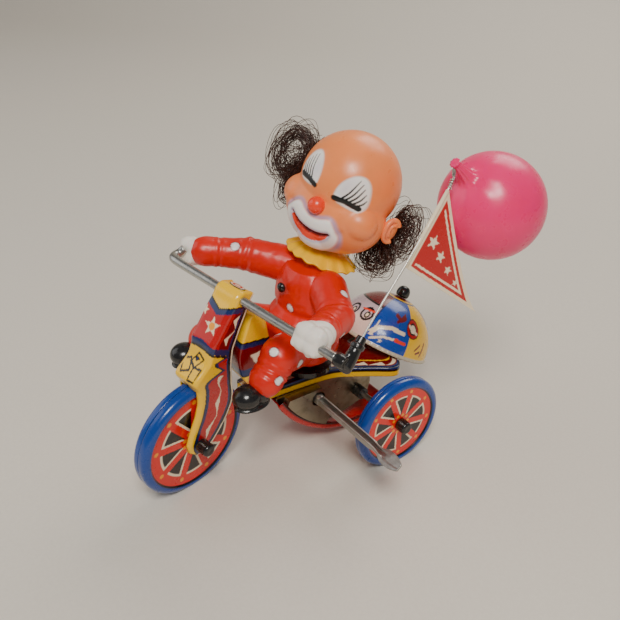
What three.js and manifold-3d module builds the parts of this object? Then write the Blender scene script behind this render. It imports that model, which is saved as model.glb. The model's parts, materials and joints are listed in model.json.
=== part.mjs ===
// A clockwork tin tricycle ridden by a vinyl clown, with a bell behind and a pennant and balloon
// on a wire. Millimetres, +Z up, the front wheel towards -Y and the rider's left towards +X.
// It is laid out about the ground point under the middle of the rear axle and is moved at the end
// so that the middle of its footprint is the origin.
import * as THREE from 'three';
import { mergeVertices } from 'three/addons/utils/BufferGeometryUtils.js';
import Module from 'manifold-3d';

const wasm = await Module();
wasm.setup();

// ---- driving dimensions ----------------------------------------------------------------------
const SHEET = 0.8;              // tin sheet
const GAP = 0.3;                // between neighbours that touch
const RUNNING = 0.1;            // radial clearance of a turning pin
const REAR_R = 24;              // rear wheel
const REAR_W = 6.6;
const REAR_OUT = 46.2;          // outer face of a rear wheel from the middle
const AXLE_R = 1.5;
const FRONT_R = 29.3;           // front wheel
const FRONT_W = 8.7;
const WHEELBASE = 91.3;
const RAKE = THREE.MathUtils.degToRad(22);
const STEERED = THREE.MathUtils.degToRad(13);   // the fork rests turned to the rider's left
const FORK_W = 15;              // outside width of the fork pressing
const BAR_R = 2.1;              // handlebar tube
const BAR_Y = -1;
const BAR_Z = 73;
const BAR_LEFT = 62;            // the straight end
const BAR_RIGHT = -36;          // where the hooked end starts
const DECK_TOP = 44;            // chassis deck
const DECK_DEEP = 5;
const PLATE_X = 11;             // clockwork plates
const ARBOR_Y = -28;            // winding arbor
const ARBOR_Z = 33;
const MIDDLE_Y = -13;           // middle gear
const MIDDLE_Z = 33.5;
const TOOTH = 1;                // depth of every gear tooth
const SPRING_GEAR = { teeth: 16, tip: 9.6 };    // tip circles pass each other with 0.2 to spare
const MIDDLE_GEAR = { teeth: 16, tip: 9 };
const MIDDLE_PINION = { teeth: 8, tip: 5.2 };
const AXLE_GEAR = { teeth: 12, tip: 6.9 };
const KEY_TIP = 77;             // outer end of the winding key
const GUARD_R = 60.8;           // curved guard under the clockwork
const GUARD_Y = 3;
const GUARD_Z = 66;
const GUARD_HALF = 14.5;
const BELL_R = 26;
const BELL_H = 25;
const BELL_TILT = THREE.MathUtils.degToRad(31.5);
const HEAD_R = 23.4;            // cranium
const JAW = [26, 19, 19.5];
const BALLOON_R = 23.3;

// ---- colours and finishes ---------------------------------------------------------------------
const paint = (hex, roughness = 0.3, metalness = 0) =>
  new THREE.MeshStandardMaterial({ color: hex, roughness, metalness });
const chrome = () => paint(0xc4c6c4, 0.2, 0.95);
const steel = () => paint(0x9a958a, 0.4, 0.9);
const tinplate = () => paint(0xa99f86, 0.35, 0.8);
const red = () => paint(0xc01818, 0.25, 0.1);
const wheelRed = () => paint(0xe8220a, 0.25, 0.1);
const blue = () => paint(0x0a4fa0, 0.2, 0.1);
const darkBlue = () => paint(0x22356b, 0.25, 0.1);
const yellow = () => paint(0xf5d800, 0.25, 0.1);
const black = () => paint(0x15130f, 0.25);
const suit = () => paint(0xe8350f, 0.35);
const cream = () => paint(0xf5ebd8, 0.4);
const skin = () => paint(0xfba56c, 0.4);
const hair = () => paint(0x3a1f14, 0.8);

// ---- small geometry kit -----------------------------------------------------------------------
// A closed three.js geometry as a manifold solid, with its faces turned outwards.
function solid(geometry, matrix) {
  const bare = geometry.clone();
  bare.deleteAttribute('normal');
  bare.deleteAttribute('uv');
  if (matrix) bare.applyMatrix4(matrix);
  const merged = mergeVertices(bare, 1e-3);
  const points = merged.attributes.position.array;
  const faces = Uint32Array.from(merged.index.array);
  let volume = 0;
  const [a, b, c] = [new THREE.Vector3(), new THREE.Vector3(), new THREE.Vector3()];
  for (let i = 0; i < faces.length; i += 3) {
    a.fromArray(points, faces[i] * 3);
    b.fromArray(points, faces[i + 1] * 3);
    c.fromArray(points, faces[i + 2] * 3);
    volume += a.dot(b.cross(c));
  }
  if (volume < 0) {
    for (let i = 0; i < faces.length; i += 3) {
      [faces[i + 1], faces[i + 2]] = [faces[i + 2], faces[i + 1]];
    }
  }
  const mesh = new wasm.Mesh({ numProp: 3, vertProperties: Float32Array.from(points), triVerts: faces });
  mesh.merge();
  return new wasm.Manifold(mesh);
}

function geometryOf(manifold) {
  const mesh = manifold.getMesh();
  const geometry = new THREE.BufferGeometry();
  geometry.setAttribute('position', new THREE.BufferAttribute(Float32Array.from(mesh.vertProperties), 3));
  geometry.setIndex(new THREE.BufferAttribute(Uint32Array.from(mesh.triVerts), 1));
  geometry.computeVertexNormals();
  return geometry;
}

const at = (x, y, z) => new THREE.Matrix4().makeTranslation(x, y, z);
const along = (a, b) => {
  const way = new THREE.Vector3().subVectors(b, a);
  const turn = new THREE.Quaternion().setFromUnitVectors(new THREE.Vector3(0, 1, 0), way.clone().normalize());
  const middle = new THREE.Vector3().addVectors(a, b).multiplyScalar(0.5);
  return new THREE.Matrix4().compose(middle, turn, new THREE.Vector3(1, 1, 1));
};
const vec = (x, y, z) => new THREE.Vector3(x, y, z);

const box = (x0, x1, y0, y1, z0, z1, matrix) => {
  const place = at((x0 + x1) / 2, (y0 + y1) / 2, (z0 + z1) / 2);
  if (matrix) place.premultiply(matrix);
  return solid(new THREE.BoxGeometry(x1 - x0, y1 - y0, z1 - z0), place);
};
const rod = (a, b, radius, sides = 12, radiusEnd = radius) =>
  solid(new THREE.CylinderGeometry(radiusEnd, radius, a.distanceTo(b), sides), along(a, b));
const limb = (a, b, radius, sides = 8) =>
  solid(new THREE.CapsuleGeometry(radius, a.distanceTo(b), 2, sides), along(a, b));
const ball = (centre, rx, ry, rz, wide = 18, high = 12, turn) => {
  const matrix = new THREE.Matrix4().compose(
    centre, turn || new THREE.Quaternion(), vec(rx, ry, rz));
  return solid(new THREE.SphereGeometry(1, wide, high), matrix);
};
// Turned about the +X axis from [radius, x] points, closed by itself or from axis to axis.
const TO_X = new THREE.Matrix4().makeRotationZ(-Math.PI / 2);
const turnedX = (points, sides, x = 0, y = 0, z = 0) => {
  const profile = points.map(([r, length]) => new THREE.Vector2(r, length));
  return solid(new THREE.LatheGeometry(profile, sides), at(x, y, z).multiply(TO_X));
};
// The same about the +Z axis.
const TO_Z = new THREE.Matrix4().makeRotationX(Math.PI / 2);
const turnedZ = (points, sides, matrix) => {
  const profile = points.map(([r, z]) => new THREE.Vector2(r, z));
  const place = matrix ? matrix.clone() : at(0, 0, 0);
  return solid(new THREE.LatheGeometry(profile, sides), place.multiply(TO_Z));
};
const shapeOf = (points) => new THREE.Shape(points.map(([x, y]) => new THREE.Vector2(x, y)));
// A side view in (y, z), extruded across from x0 to x1.
const TO_SIDE = new THREE.Matrix4().makeBasis(vec(0, 1, 0), vec(0, 0, 1), vec(1, 0, 0));
const sideways = (points, x0, x1, matrix) => {
  const geometry = new THREE.ExtrudeGeometry(shapeOf(points), { depth: x1 - x0, bevelEnabled: false });
  return solid(geometry, (matrix ? matrix.clone() : at(0, 0, 0)).multiply(at(x0, 0, 0)).multiply(TO_SIDE));
};
// A plan view in (x, y), extruded upwards.
const upwards = (points, z0, z1) =>
  solid(new THREE.ExtrudeGeometry(shapeOf(points), { depth: z1 - z0, bevelEnabled: false }), at(0, 0, z0));
// A round tube or wire along a smooth path.
const tube = (points, radius, sides, steps) => {
  const path = new THREE.CatmullRomCurve3(points.map((p) => vec(...p)), false, 'centripetal');
  const ring = Array.from({ length: sides }, (_, i) => (i * Math.PI * 2) / sides);
  const section = shapeOf(ring.map((angle) => [radius * Math.cos(angle), radius * Math.sin(angle)]));
  const options = { steps, bevelEnabled: false, extrudePath: path };
  return solid(new THREE.ExtrudeGeometry(section, options));
};
const joined = (...solids) => solids.reduce((sum, next) => sum.add(next));
// The main body of a solid, without slivers that a cut has left apart from it.
const largest = (cut) => cut.decompose().sort((p, q) => q.volume() - p.volume())[0];

const group = new THREE.Group();
const steering = new THREE.Group();
steering.position.set(0, -WHEELBASE, FRONT_R);
steering.rotation.set(-RAKE, 0, STEERED);
group.add(steering);
function piece(name, manifold, material, parent = group) {
  const mesh = new THREE.Mesh(geometryOf(manifold), material);
  mesh.name = name;
  parent.add(mesh);
}

// ---- wheels: two pressed halves, an axle and two push-on caps ------------------------------------
function wheelHalf(radius, width, bore, side) {
  const half = width / 2;
  const disc = half - 1.3;
  const points = [
    [bore, disc], [radius - 4.2, disc], [radius - 2.8, half], [radius - 0.6, half - 0.8],
    [radius, half - 2.3], [radius, GAP / 2], [radius - SHEET, GAP / 2],
    [radius - 1.8, half - 1.2], [radius - 3.9, disc - SHEET], [bore, disc - SHEET], [bore, disc],
  ];
  return turnedX(points.map(([r, x]) => [r, x * side]), 24);
}
const capProfile = (radius, length) => [
  [0, 0], [radius * 0.8, 0], [radius, 0.6], [radius, length - 1.2], [radius * 0.75, length], [0, length],
];

const rearMiddle = REAR_OUT - REAR_W / 2;
for (const [side, word] of [[1, 'left'], [-1, 'right']]) {
  const outer = wheelHalf(REAR_R, REAR_W, AXLE_R + GAP, side);
  const inner = wheelHalf(REAR_R, REAR_W, AXLE_R + GAP, -side);
  piece(`rear_${word}_wheel_outer`, outer.translate([side * rearMiddle, 0, REAR_R]), wheelRed());
  piece(`rear_${word}_wheel_inner`, inner.translate([side * rearMiddle, 0, REAR_R]), blue());
  const cap = turnedX(capProfile(3.3, 6).map(([r, x]) => [r, x * side]), 16)
    .subtract(rod(vec(-side, 0, 0), vec(side * 4.5, 0, 0), AXLE_R + GAP, 12));
  piece(`rear_${word}_hub_cap`, cap.translate([side * (REAR_OUT - 1), 0, REAR_R]), black());
}
const rearEnd = REAR_OUT + 3;
piece('rear_axle', rod(vec(-rearEnd, 0, REAR_R), vec(rearEnd, 0, REAR_R), AXLE_R), steel());

for (const [side, word] of [[1, 'left'], [-1, 'right']]) {
  piece(`front_wheel_${word}_half`, wheelHalf(FRONT_R, FRONT_W, AXLE_R + GAP, side), wheelRed(), steering);
  const cap = turnedX(capProfile(3.4, 7).map(([r, x]) => [r, x * side]), 16)
    .subtract(rod(vec(-side, 0, 0), vec(side * 5, 0, 0), AXLE_R + GAP, 12));
  piece(`front_${word}_axle_cap`, cap.translate([side * (FORK_W / 2 + 0.5), 0, 0]), black(), steering);
}
piece('front_axle', rod(vec(-11, 0, 0), vec(11, 0, 0), AXLE_R), steel(), steering);

// ---- fork: one folded pressing, open behind, that straddles the wheel ---------------------------
const forkSide = [
  [5, 76.4], [4.2, 74], [3.6, 67], [3, 60], [2.5, 49.5], [4.7, 41], [7.5, 35], [9.7, 30], [12.3, 25.3],
  [13.5, 20.3], [13, 13.4], [11.2, 6], [8.6, -0.4], [4.6, -5], [0, -6.6], [-4, -5.2], [-6.5, -1.6],
  [-6.9, 6], [-6.7, 14], [-7.6, 21], [-11, 28.5], [-15.6, 31.6], [-14.6, 34.2], [-11.8, 38.4],
  [-10.1, 42], [-10.3, 47], [-11.6, 50.5], [-9.6, 56.2], [-7.2, 66], [-5.4, 70.4], [-5.2, 74.6], [-3, 76.4],
];
function forkShell() {
  const half = FORK_W / 2;
  const bevelled = new THREE.ExtrudeGeometry(shapeOf(forkSide), {
    depth: FORK_W - 5, bevelEnabled: true, bevelThickness: 2.5, bevelSize: 1.6, bevelOffset: -1.6,
    bevelSegments: 1,
  });
  const outer = solid(bevelled, at(2.5 - half, 0, 0).multiply(TO_SIDE));
  // The front wall and the top keep the sheet's thickness, and the rear is left open.
  const hollow = forkSide.map(([y, z]) => {
    const upper = z > 22;
    const shift = y < 2 ? SHEET : 8;
    return [upper ? y + shift : y, z > 70 ? z - SHEET : z];
  });
  const inner = sideways(hollow, SHEET - half, half - SHEET)
    .add(box(SHEET - half, half - SHEET, -20, 20, -12, 24))
    .add(box(SHEET - half, half - SHEET, 0, 20, 20, 75.6));
  const wheelRoom = rod(vec(SHEET - half, 0, 0), vec(half - SHEET, 0, 0), FRONT_R + 2, 28);
  const barHole = rod(vec(-20, BAR_Y, BAR_Z), vec(20, BAR_Y, BAR_Z), BAR_R + GAP + 0.1, 14);
  const axleHole = rod(vec(-20, 0, 0), vec(20, 0, 0), AXLE_R + GAP, 12);
  let shell = outer.subtract(inner).subtract(wheelRoom).subtract(axleHole);
  for (const [z0, z1] of [[42.4, 43.4], [66.4, 67.4]]) {
    const bridge = box(0.5 - half, half - 0.5, -8, 2, z0, z1);
    shell = shell.add(bridge);
  }
  return shell.subtract(barHole).subtract(rod(vec(0, 0, 40), vec(0, 0, 69), AXLE_R + GAP, 16));
}
piece('fork', forkShell(), red(), steering);

const pinProfile = [
  [0, 40.9], [2.6, 40.9], [2.6, 42.1], [AXLE_R, 42.1], [AXLE_R, 67.7], [2.6, 67.7], [2.6, 68.9], [0, 68.9],
];
piece('steering_pin', turnedZ(pinProfile, 16), steel(), steering);
const badgeOutline = new THREE.EllipseCurve(0, 0, 4.6, 2.2).getPoints(20).slice(0, 20);
piece('crown_badge', upwards(badgeOutline.map((p) => [p.x, p.y]), 76.7, 77.3).translate([0.5, 1, 0]),
  cream(), steering);

// ---- handlebar, its plastic wire holder, wire, pennant and balloon ------------------------------
const barPath = [
  [BAR_LEFT, BAR_Y, BAR_Z], [40, BAR_Y, BAR_Z], [0, BAR_Y, BAR_Z], [-24, BAR_Y, BAR_Z],
  [BAR_RIGHT, BAR_Y, BAR_Z], [-41, 0.6, BAR_Z], [-43.4, 4.6, BAR_Z + 0.6], [-43.6, 9.5, BAR_Z + 1],
];
piece('handlebar', tube(barPath, BAR_R, 8, 22), chrome(), steering);

const HOLDER_FOOT = [66.2, 1.4, 70.6];
const HOLDER_TOP = [65.3, 8, 84];
const holder = joined(
  rod(vec(BAR_LEFT + GAP, BAR_Y, BAR_Z), vec(67.4, BAR_Y, BAR_Z), 2.9, 14),
  rod(vec(...HOLDER_FOOT), vec(...HOLDER_TOP), 3, 14, 2.3),
);
const wirePath = [
  HOLDER_TOP, [65, 13.4, 97], [65, 21, 114.5], [65, 28, 134], [65, 33.2, 149.2], [65, 33.6, 153.4],
  [64.4, 32.6, 156.4],
];
const wireStart = vec(...HOLDER_TOP).lerp(vec(...HOLDER_FOOT), 0.35);
const wire = tube([wireStart.toArray(), ...wirePath.slice(1)], 0.5, 6, 14);
const socket = rod(wireStart.clone().lerp(vec(...HOLDER_FOOT), 0.1), vec(...HOLDER_TOP).add(vec(0, 1, 3)),
  0.5 + GAP, 10);
piece('wire_holder', holder.subtract(socket), black(), steering);
piece('balloon_wire', wire, steel(), steering);

steering.updateMatrixWorld(true);
const fromSteering = steering.matrixWorld.clone().invert();
const inFork = (x, y, z) => vec(x, y, z).applyMatrix4(fromSteering);

const HOIST_LOW = vec(65, 21.4, 113.6);
const HOIST_HIGH = vec(65, 32.4, 147.4);
const PENNANT_TIP = inFork(66, 21, 91);
function pennant() {
  const up = HOIST_HIGH.clone().sub(HOIST_LOW);
  const length = up.length();
  up.normalize();
  const away = PENNANT_TIP.clone().sub(HOIST_LOW);
  const rise = away.dot(up);
  const out = away.clone().addScaledVector(up, -rise);
  const reach = out.length();
  out.normalize();
  const outline = new THREE.Shape();
  outline.moveTo(0, 0);
  outline.lineTo(reach, rise);
  outline.quadraticCurveTo(reach * 0.62, rise + (length - rise) * 0.34, 0, length);
  outline.lineTo(0, 0);
  const sheet = new THREE.ExtrudeGeometry(outline, { depth: 0.8, bevelEnabled: false, curveSegments: 8 });
  const normal = vec(0, 0, 0).crossVectors(out, up);
  const place = new THREE.Matrix4().makeBasis(out, up, normal);
  place.setPosition(HOIST_LOW.clone().addScaledVector(out, 0.9).addScaledVector(normal, -0.4));
  return solid(sheet, place);
}
piece('pennant', pennant(), red(), steering);

const BALLOON_AT = inFork(56, 34.1, 134.9);
const NECK_AT = vec(64, 32.2, 158.4);
function balloon() {
  const away = NECK_AT.clone().sub(BALLOON_AT);
  const reach = away.length();
  const turn = new THREE.Quaternion().setFromUnitVectors(vec(0, 0, 1), away.clone().normalize());
  const place = new THREE.Matrix4().compose(BALLOON_AT, turn, vec(1, 1, 1));
  const body = ball(BALLOON_AT, BALLOON_R, BALLOON_R, BALLOON_R, 16, 10, turn);
  const neck = turnedZ([
    [0, BALLOON_R - 4], [7, BALLOON_R - 3], [2.4, BALLOON_R + 1.2], [1.3, reach - 1.2], [2.6, reach + 0.8],
    [0, reach + 0.8],
  ], 12, place);
  return body.add(neck);
}
const wireRoom = tube([[65, 28, 134], [65, 33.2, 149.2], [65, 33.6, 153.4], [64.4, 32.6, 157.2]], 0.9, 6, 8);
piece('balloon', balloon().subtract(wireRoom), paint(0xff4f8b, 0.3), steering);

// ---- hands, which grip the bar -----------------------------------------------------------------
const RIGHT_HAND = vec(-42.4, 8.6, 76.6);
const LEFT_HAND = vec(47, 1.6, 73.8);
const barRoom = tube(barPath, BAR_R + GAP, 8, 22);
const rightHole = rod(vec(-43.5, 3, BAR_Z + 0.6), vec(-43.7, 24, BAR_Z + 1), 2.8, 12);
piece('right_hand', ball(RIGHT_HAND, 7.4, 8, 7.6, 14, 8).subtract(barRoom).subtract(rightHole),
  cream(), steering);
piece('left_hand', ball(LEFT_HAND, 9.4, 8.6, 8.4, 14, 8).subtract(barRoom), cream(), steering);

const BELL_AT = vec(0, 23.7, 40.6);
const bellFrame = new THREE.Matrix4().makeRotationX(-BELL_TILT).setPosition(BELL_AT);

// ---- chassis: deck, neck, clockwork plates and the curved guard underneath -----------------------
const deckHalf = [
  [8, -60], [9, -52], [10, -36], [11.5, -22], [13, -15], [18, -7], [23.4, 1.2], [27.9, 7], [29.4, 10.4],
  [28.6, 13], [26, 15],
];
const deckPlan = (inset) => {
  const right = deckHalf.map(([x, y]) => [x - inset, y > 12 ? y - inset : y < -55 ? y + inset : y]);
  const left = [...right].reverse().map(([x, y]) => [-x, y]);
  return [...right, ...left];
};
const deckLow = DECK_TOP - DECK_DEEP;
const deck = upwards(deckPlan(0), deckLow, DECK_TOP)
  .subtract(upwards(deckPlan(SHEET), deckLow - 1, DECK_TOP - SHEET));
piece('chassis_deck', deck, darkBlue());

const neckSide = [
  [-59.4, 87.2], [-66.8, 69], [-65.6, 56], [-62, 50], [-57, DECK_TOP + GAP], [-40, DECK_TOP + GAP],
  [-45, 58], [-49.5, 72], [-51, 84],
];
const neckInner = [
  [-59.2, 86.2], [-65.9, 69], [-64.7, 56.3], [-61.3, 50.6], [-56.6, 44], [-56.6, 40], [-41.2, 40],
  [-41.2, 44], [-45.9, 58], [-50.3, 72], [-51.8, 83.4],
];
const raked = new THREE.Matrix4().makeRotationX(-RAKE).setPosition(0, -WHEELBASE, FRONT_R);
let neck = sideways(neckSide, -7, 7).subtract(sideways(neckInner, SHEET - 7, 7 - SHEET));
for (const z of [46, 59]) {
  neck = neck.add(box(-3.8, 3.8, -3.6, 8.9, z, z + 3, raked));
}
const pinRoom = solid(new THREE.CylinderGeometry(AXLE_R + RUNNING, AXLE_R + RUNNING, 40, 16),
  raked.clone().multiply(at(0, 0, 55)).multiply(TO_Z));
piece('steering_neck', neck.subtract(pinRoom), yellow());

const insideGuard = (radius) => rod(vec(-30, GUARD_Y, GUARD_Z), vec(30, GUARD_Y, GUARD_Z), radius, 72);
const plateTop = deckLow - GAP;
const plateSide = [[-49, plateTop], [-50, 30], [-36, 16], [-14, 12.5], [6, 17], [8.6, 26], [8, plateTop]];
for (const [side, word] of [[1, 'left'], [-1, 'right']]) {
  const [x0, x1] = side > 0 ? [PLATE_X - 1, PLATE_X] : [-PLATE_X, 1 - PLATE_X];
  let plate = sideways(plateSide, x0, x1).intersect(insideGuard(GUARD_R - SHEET - GAP - 0.2));
  for (const [y, z, r] of [[0, REAR_R, AXLE_R], [ARBOR_Y, ARBOR_Z, 2], [MIDDLE_Y, MIDDLE_Z, 1]]) {
    plate = plate.subtract(rod(vec(-20, y, z), vec(20, y, z), r + RUNNING, 16));
  }
  piece(`clockwork_plate_${word}`, plate, tinplate());
}
const pillarInner = PLATE_X - 1 - GAP;
for (const [word, y, z] of [['front', -41, 30], ['rear', 4, 35]]) {
  piece(`plate_pillar_${word}`, rod(vec(-pillarInner, y, z), vec(pillarInner, y, z), 1.8, 12), steel());
}

const coverSide = [
  [-45, plateTop], [-47, 33], [-44, 26], [-24, 13.6], [-18.6, 24], [-26, plateTop],
];
const cover = sideways(coverSide, PLATE_X + GAP, PLATE_X + 5)
  .intersect(insideGuard(GUARD_R - 3.4))
  .subtract(sideways(coverSide.map(([y, z]) => [-33 + (y + 33) * 0.94, 27 + (z - 27) * 0.94]),
    PLATE_X, PLATE_X + 5 - SHEET))
  .subtract(rod(vec(0, ARBOR_Y, ARBOR_Z), vec(30, ARBOR_Y, ARBOR_Z), 4, 16));
piece('clockwork_cover', cover, tinplate());

// The guard is a strip of a cylinder wall that runs from the neck down under the clockwork.
const guardArc = (radius, from, to) => {
  const steps = 12;
  return Array.from({ length: steps + 1 }, (_, i) => {
    const angle = from + ((to - from) * i) / steps;
    return [GUARD_Y + radius * Math.cos(angle), GUARD_Z + radius * Math.sin(angle)];
  });
};
const [GUARD_FROM, GUARD_TO] = [209, 288].map(THREE.MathUtils.degToRad);
const band = (outer, inner, x0, x1) =>
  sideways([...guardArc(outer, GUARD_FROM, GUARD_TO), ...guardArc(inner, GUARD_TO, GUARD_FROM)], x0, x1);
const guard = joined(
  band(GUARD_R, GUARD_R - SHEET, -GUARD_HALF, GUARD_HALF),
  band(GUARD_R + 1, GUARD_R - 3, GUARD_HALF - 1.6, GUARD_HALF),
  band(GUARD_R + 1, GUARD_R - 3, -GUARD_HALF, 1.6 - GUARD_HALF),
);
piece('clockwork_guard', guard, red());

// ---- clockwork: spring, winding arbor with its key, two gears and the axle gear -------------------
function gear({ teeth, tip }, x0, x1, bore, y, z) {
  const outline = [];
  for (let i = 0; i < teeth * 4; i += 1) {
    const radius = i % 4 < 2 ? tip : tip - TOOTH;
    const angle = (i * Math.PI) / (teeth * 2);
    outline.push([y + radius * Math.cos(angle), z + radius * Math.sin(angle)]);
  }
  return sideways(outline, x0, x1).subtract(rod(vec(-30, y, z), vec(30, y, z), bore, 16));
}
piece('spring_gear', gear(SPRING_GEAR, 6.4, 8, 2 + GAP, ARBOR_Y, ARBOR_Z), tinplate());
const middleGear = joined(
  gear(MIDDLE_GEAR, 3.2, 4.6, 0.9, MIDDLE_Y, MIDDLE_Z),
  gear(MIDDLE_PINION, 4.4, 8.2, 0.9, MIDDLE_Y, MIDDLE_Z),
  rod(vec(-PLATE_X + 0.2, MIDDLE_Y, MIDDLE_Z), vec(PLATE_X + 0.2, MIDDLE_Y, MIDDLE_Z), 1, 16),
);
piece('middle_gear', middleGear, tinplate());
piece('axle_gear', gear(AXLE_GEAR, 2.4, 5.2, AXLE_R + GAP, 0, REAR_R), tinplate());

function spring() {
  const turns = 3;
  const steps = turns * 12;
  const wall = 0.5;
  const side = (offset) => Array.from({ length: steps + 1 }, (_, i) => {
    const radius = 3.4 + (5.4 * i) / steps + offset;
    const angle = (i / 12) * Math.PI * 2;
    return [ARBOR_Y + radius * Math.cos(angle), ARBOR_Z + radius * Math.sin(angle)];
  });
  return sideways([...side(0), ...side(wall).reverse()], -6, 2.8);
}
piece('mainspring', spring(), steel());

// The key is a folded steel strip: a long channel out to the side, its end twisted flat as a grip.
const key = joined(
  rod(vec(-PLATE_X - 1.4, ARBOR_Y, ARBOR_Z), vec(20, ARBOR_Y, ARBOR_Z), 2, 16),
  box(17, KEY_TIP - 9, ARBOR_Y - 2.2, ARBOR_Y + 2.2, ARBOR_Z - 2, ARBOR_Z + 2),
  box(KEY_TIP - 10, KEY_TIP, ARBOR_Y - 4.4, ARBOR_Y + 4.4, ARBOR_Z - 0.9, ARBOR_Z + 0.9),
).subtract(box(19, KEY_TIP - 11, ARBOR_Y - 0.9, ARBOR_Y + 0.9, ARBOR_Z + 0.6, ARBOR_Z + 3));
piece('winding_key', key, steel());

for (const [side, word] of [[1, 'left'], [-1, 'right']]) {
  const bush = turnedX([[AXLE_R + RUNNING, 0], [3.2, 0], [3.2, 5], [AXLE_R + RUNNING, 5],
    [AXLE_R + RUNNING, 0]].map(([r, x]) => [r, x * side]), 20);
  piece(`axle_bush_${word}`, bush.translate([side * (PLATE_X + GAP), 0, REAR_R]), black());
}

// ---- bell -------------------------------------------------------------------------------------
function bellDome() {
  const arc = (r, h, from, to) => Array.from({ length: 6 }, (_, i) => {
    const angle = from + ((to - from) * i) / 5;
    return [r * Math.cos(angle), h * Math.sin(angle)];
  });
  const [low, high] = [0.02, 1.47];
  const outside = arc(BELL_R, BELL_H, low, high);
  const inside = arc(BELL_R - 1, BELL_H - 1, high, low);
  const rim = [[BELL_R - 1, -1], [BELL_R + 0.4, -1]];
  return turnedZ([...outside, ...inside, ...rim, outside[0]], 20, bellFrame);
}
piece('bell_dome', bellDome(), blue());
// A strip on the deck carries the post that rises along the bell's axis into its knob.
const postFoot = (DECK_TOP + GAP + 0.4 - BELL_AT.z) / Math.cos(BELL_TILT);
const bellPost = joined(
  turnedZ([[0, postFoot], [1.6, postFoot], [1.6, BELL_H + 2.6], [0, BELL_H + 2.6]], 14, bellFrame),
  box(-3, 3, 4, 28.5, DECK_TOP + GAP, DECK_TOP + GAP + 1.2),
);
piece('bell_bracket', bellPost, steel());
const knob = turnedZ([
  [1.9, 0.4], [3.4, 0.4], [3.6, 2.4], [3, 5], [1.2, 6.2], [0, 6.2], [0, 3], [1.9, 3], [1.9, 0.4],
].map(([r, z]) => [r, BELL_H + z]), 16, bellFrame);
piece('bell_nut', knob, black());

// The striker swings sideways on an upright pin under the deck, and its hammer stands inside the bell.
const STRIKER = { x: 9, y: 11.6, z: 33 };
const HAMMER = { x: 13.8, y: 38, top: 41, r: 2 };
const strikerArm = [[STRIKER.x - 1, STRIKER.y], [STRIKER.x + 1, STRIKER.y],
  [HAMMER.x + 1, HAMMER.y], [HAMMER.x - 1, HAMMER.y]];
const pinAxis = (z0, z1, radius) =>
  rod(vec(STRIKER.x, STRIKER.y, z0), vec(STRIKER.x, STRIKER.y, z1), radius, 14);
const striker = joined(
  pinAxis(STRIKER.z - 2.4, STRIKER.z + 2.4, 2.4),
  upwards(strikerArm, STRIKER.z - 0.8, STRIKER.z + 0.8),
  rod(vec(HAMMER.x, HAMMER.y, STRIKER.z - 0.8), vec(HAMMER.x, HAMMER.y, HAMMER.top), HAMMER.r, 12),
).subtract(pinAxis(STRIKER.z - 5, STRIKER.z + 5, 1 + RUNNING));
piece('bell_striker', striker, steel());
piece('striker_hinge', joined(
  pinAxis(STRIKER.z - 4, STRIKER.z - 2.8, 2.2),
  pinAxis(STRIKER.z - 4, DECK_TOP - SHEET - GAP, 1),
  pinAxis(DECK_TOP - SHEET - GAP - 1, DECK_TOP - SHEET - GAP, 2),
), steel());

// ---- rider: vinyl body, legs, arms, collar and boots ---------------------------------------------
const bodyParts = (grow) => joined(
  ball(vec(0, -28, 66), 20 + grow, 17 + grow, 17.5 + grow, 14, 8),
  ball(vec(0, -23, 84), 18.5 + grow, 14.5 + grow, 20 + grow, 14, 8),
);
const seatCut = box(-40, 40, -80, 40, 20, DECK_TOP + 3.3);
const neckRoom = sideways(neckSide.map(([y, z]) => [-54 + (y + 54) * 1.08, 66 + (z - 66) * 1.03]), -7.6, 7.6);
const upperCut = box(-40, 40, -80, 40, 99.5, 130);
piece('rider_body', bodyParts(0).subtract(seatCut).subtract(upperCut).subtract(neckRoom), suit());
piece('seat', upwards(new THREE.EllipseCurve(0, -25, 14, 13).getPoints(28).slice(0, 28)
  .map((p) => [p.x, p.y]), DECK_TOP + GAP, DECK_TOP + 3), black());

const SHOE_LEFT = vec(21.4, -69, 56);
const SHOE_RIGHT = vec(-22.6, -77.5, 58);
const legs = [
  ['left', vec(13, -38, 66), vec(19, -52, 70), vec(20.6, -59, 62), SHOE_LEFT],
  ['right', vec(-13, -38, 66), vec(-20, -58, 71), vec(-21.8, -66.5, 64.5), SHOE_RIGHT],
];
for (const [word, hip, knee, ankle, shoe] of legs) {
  const boot = ball(shoe, 6.6, 9.4, 6, 14, 8);
  const bootRoom = ball(shoe, 6.6 + GAP, 9.4 + GAP, 6 + GAP, 14, 8);
  const cuff = rod(knee.clone().lerp(ankle, 0.75), ankle.clone().lerp(shoe, 0.12), 8, 10, 8.4);
  const leg = joined(limb(hip, knee, 9.2), limb(knee, ankle, 8), cuff)
    .subtract(bodyParts(GAP)).subtract(bootRoom).subtract(neckRoom);
  piece(`${word}_leg`, leg, suit());
  piece(`${word}_shoe`, boot, black());
}

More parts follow.
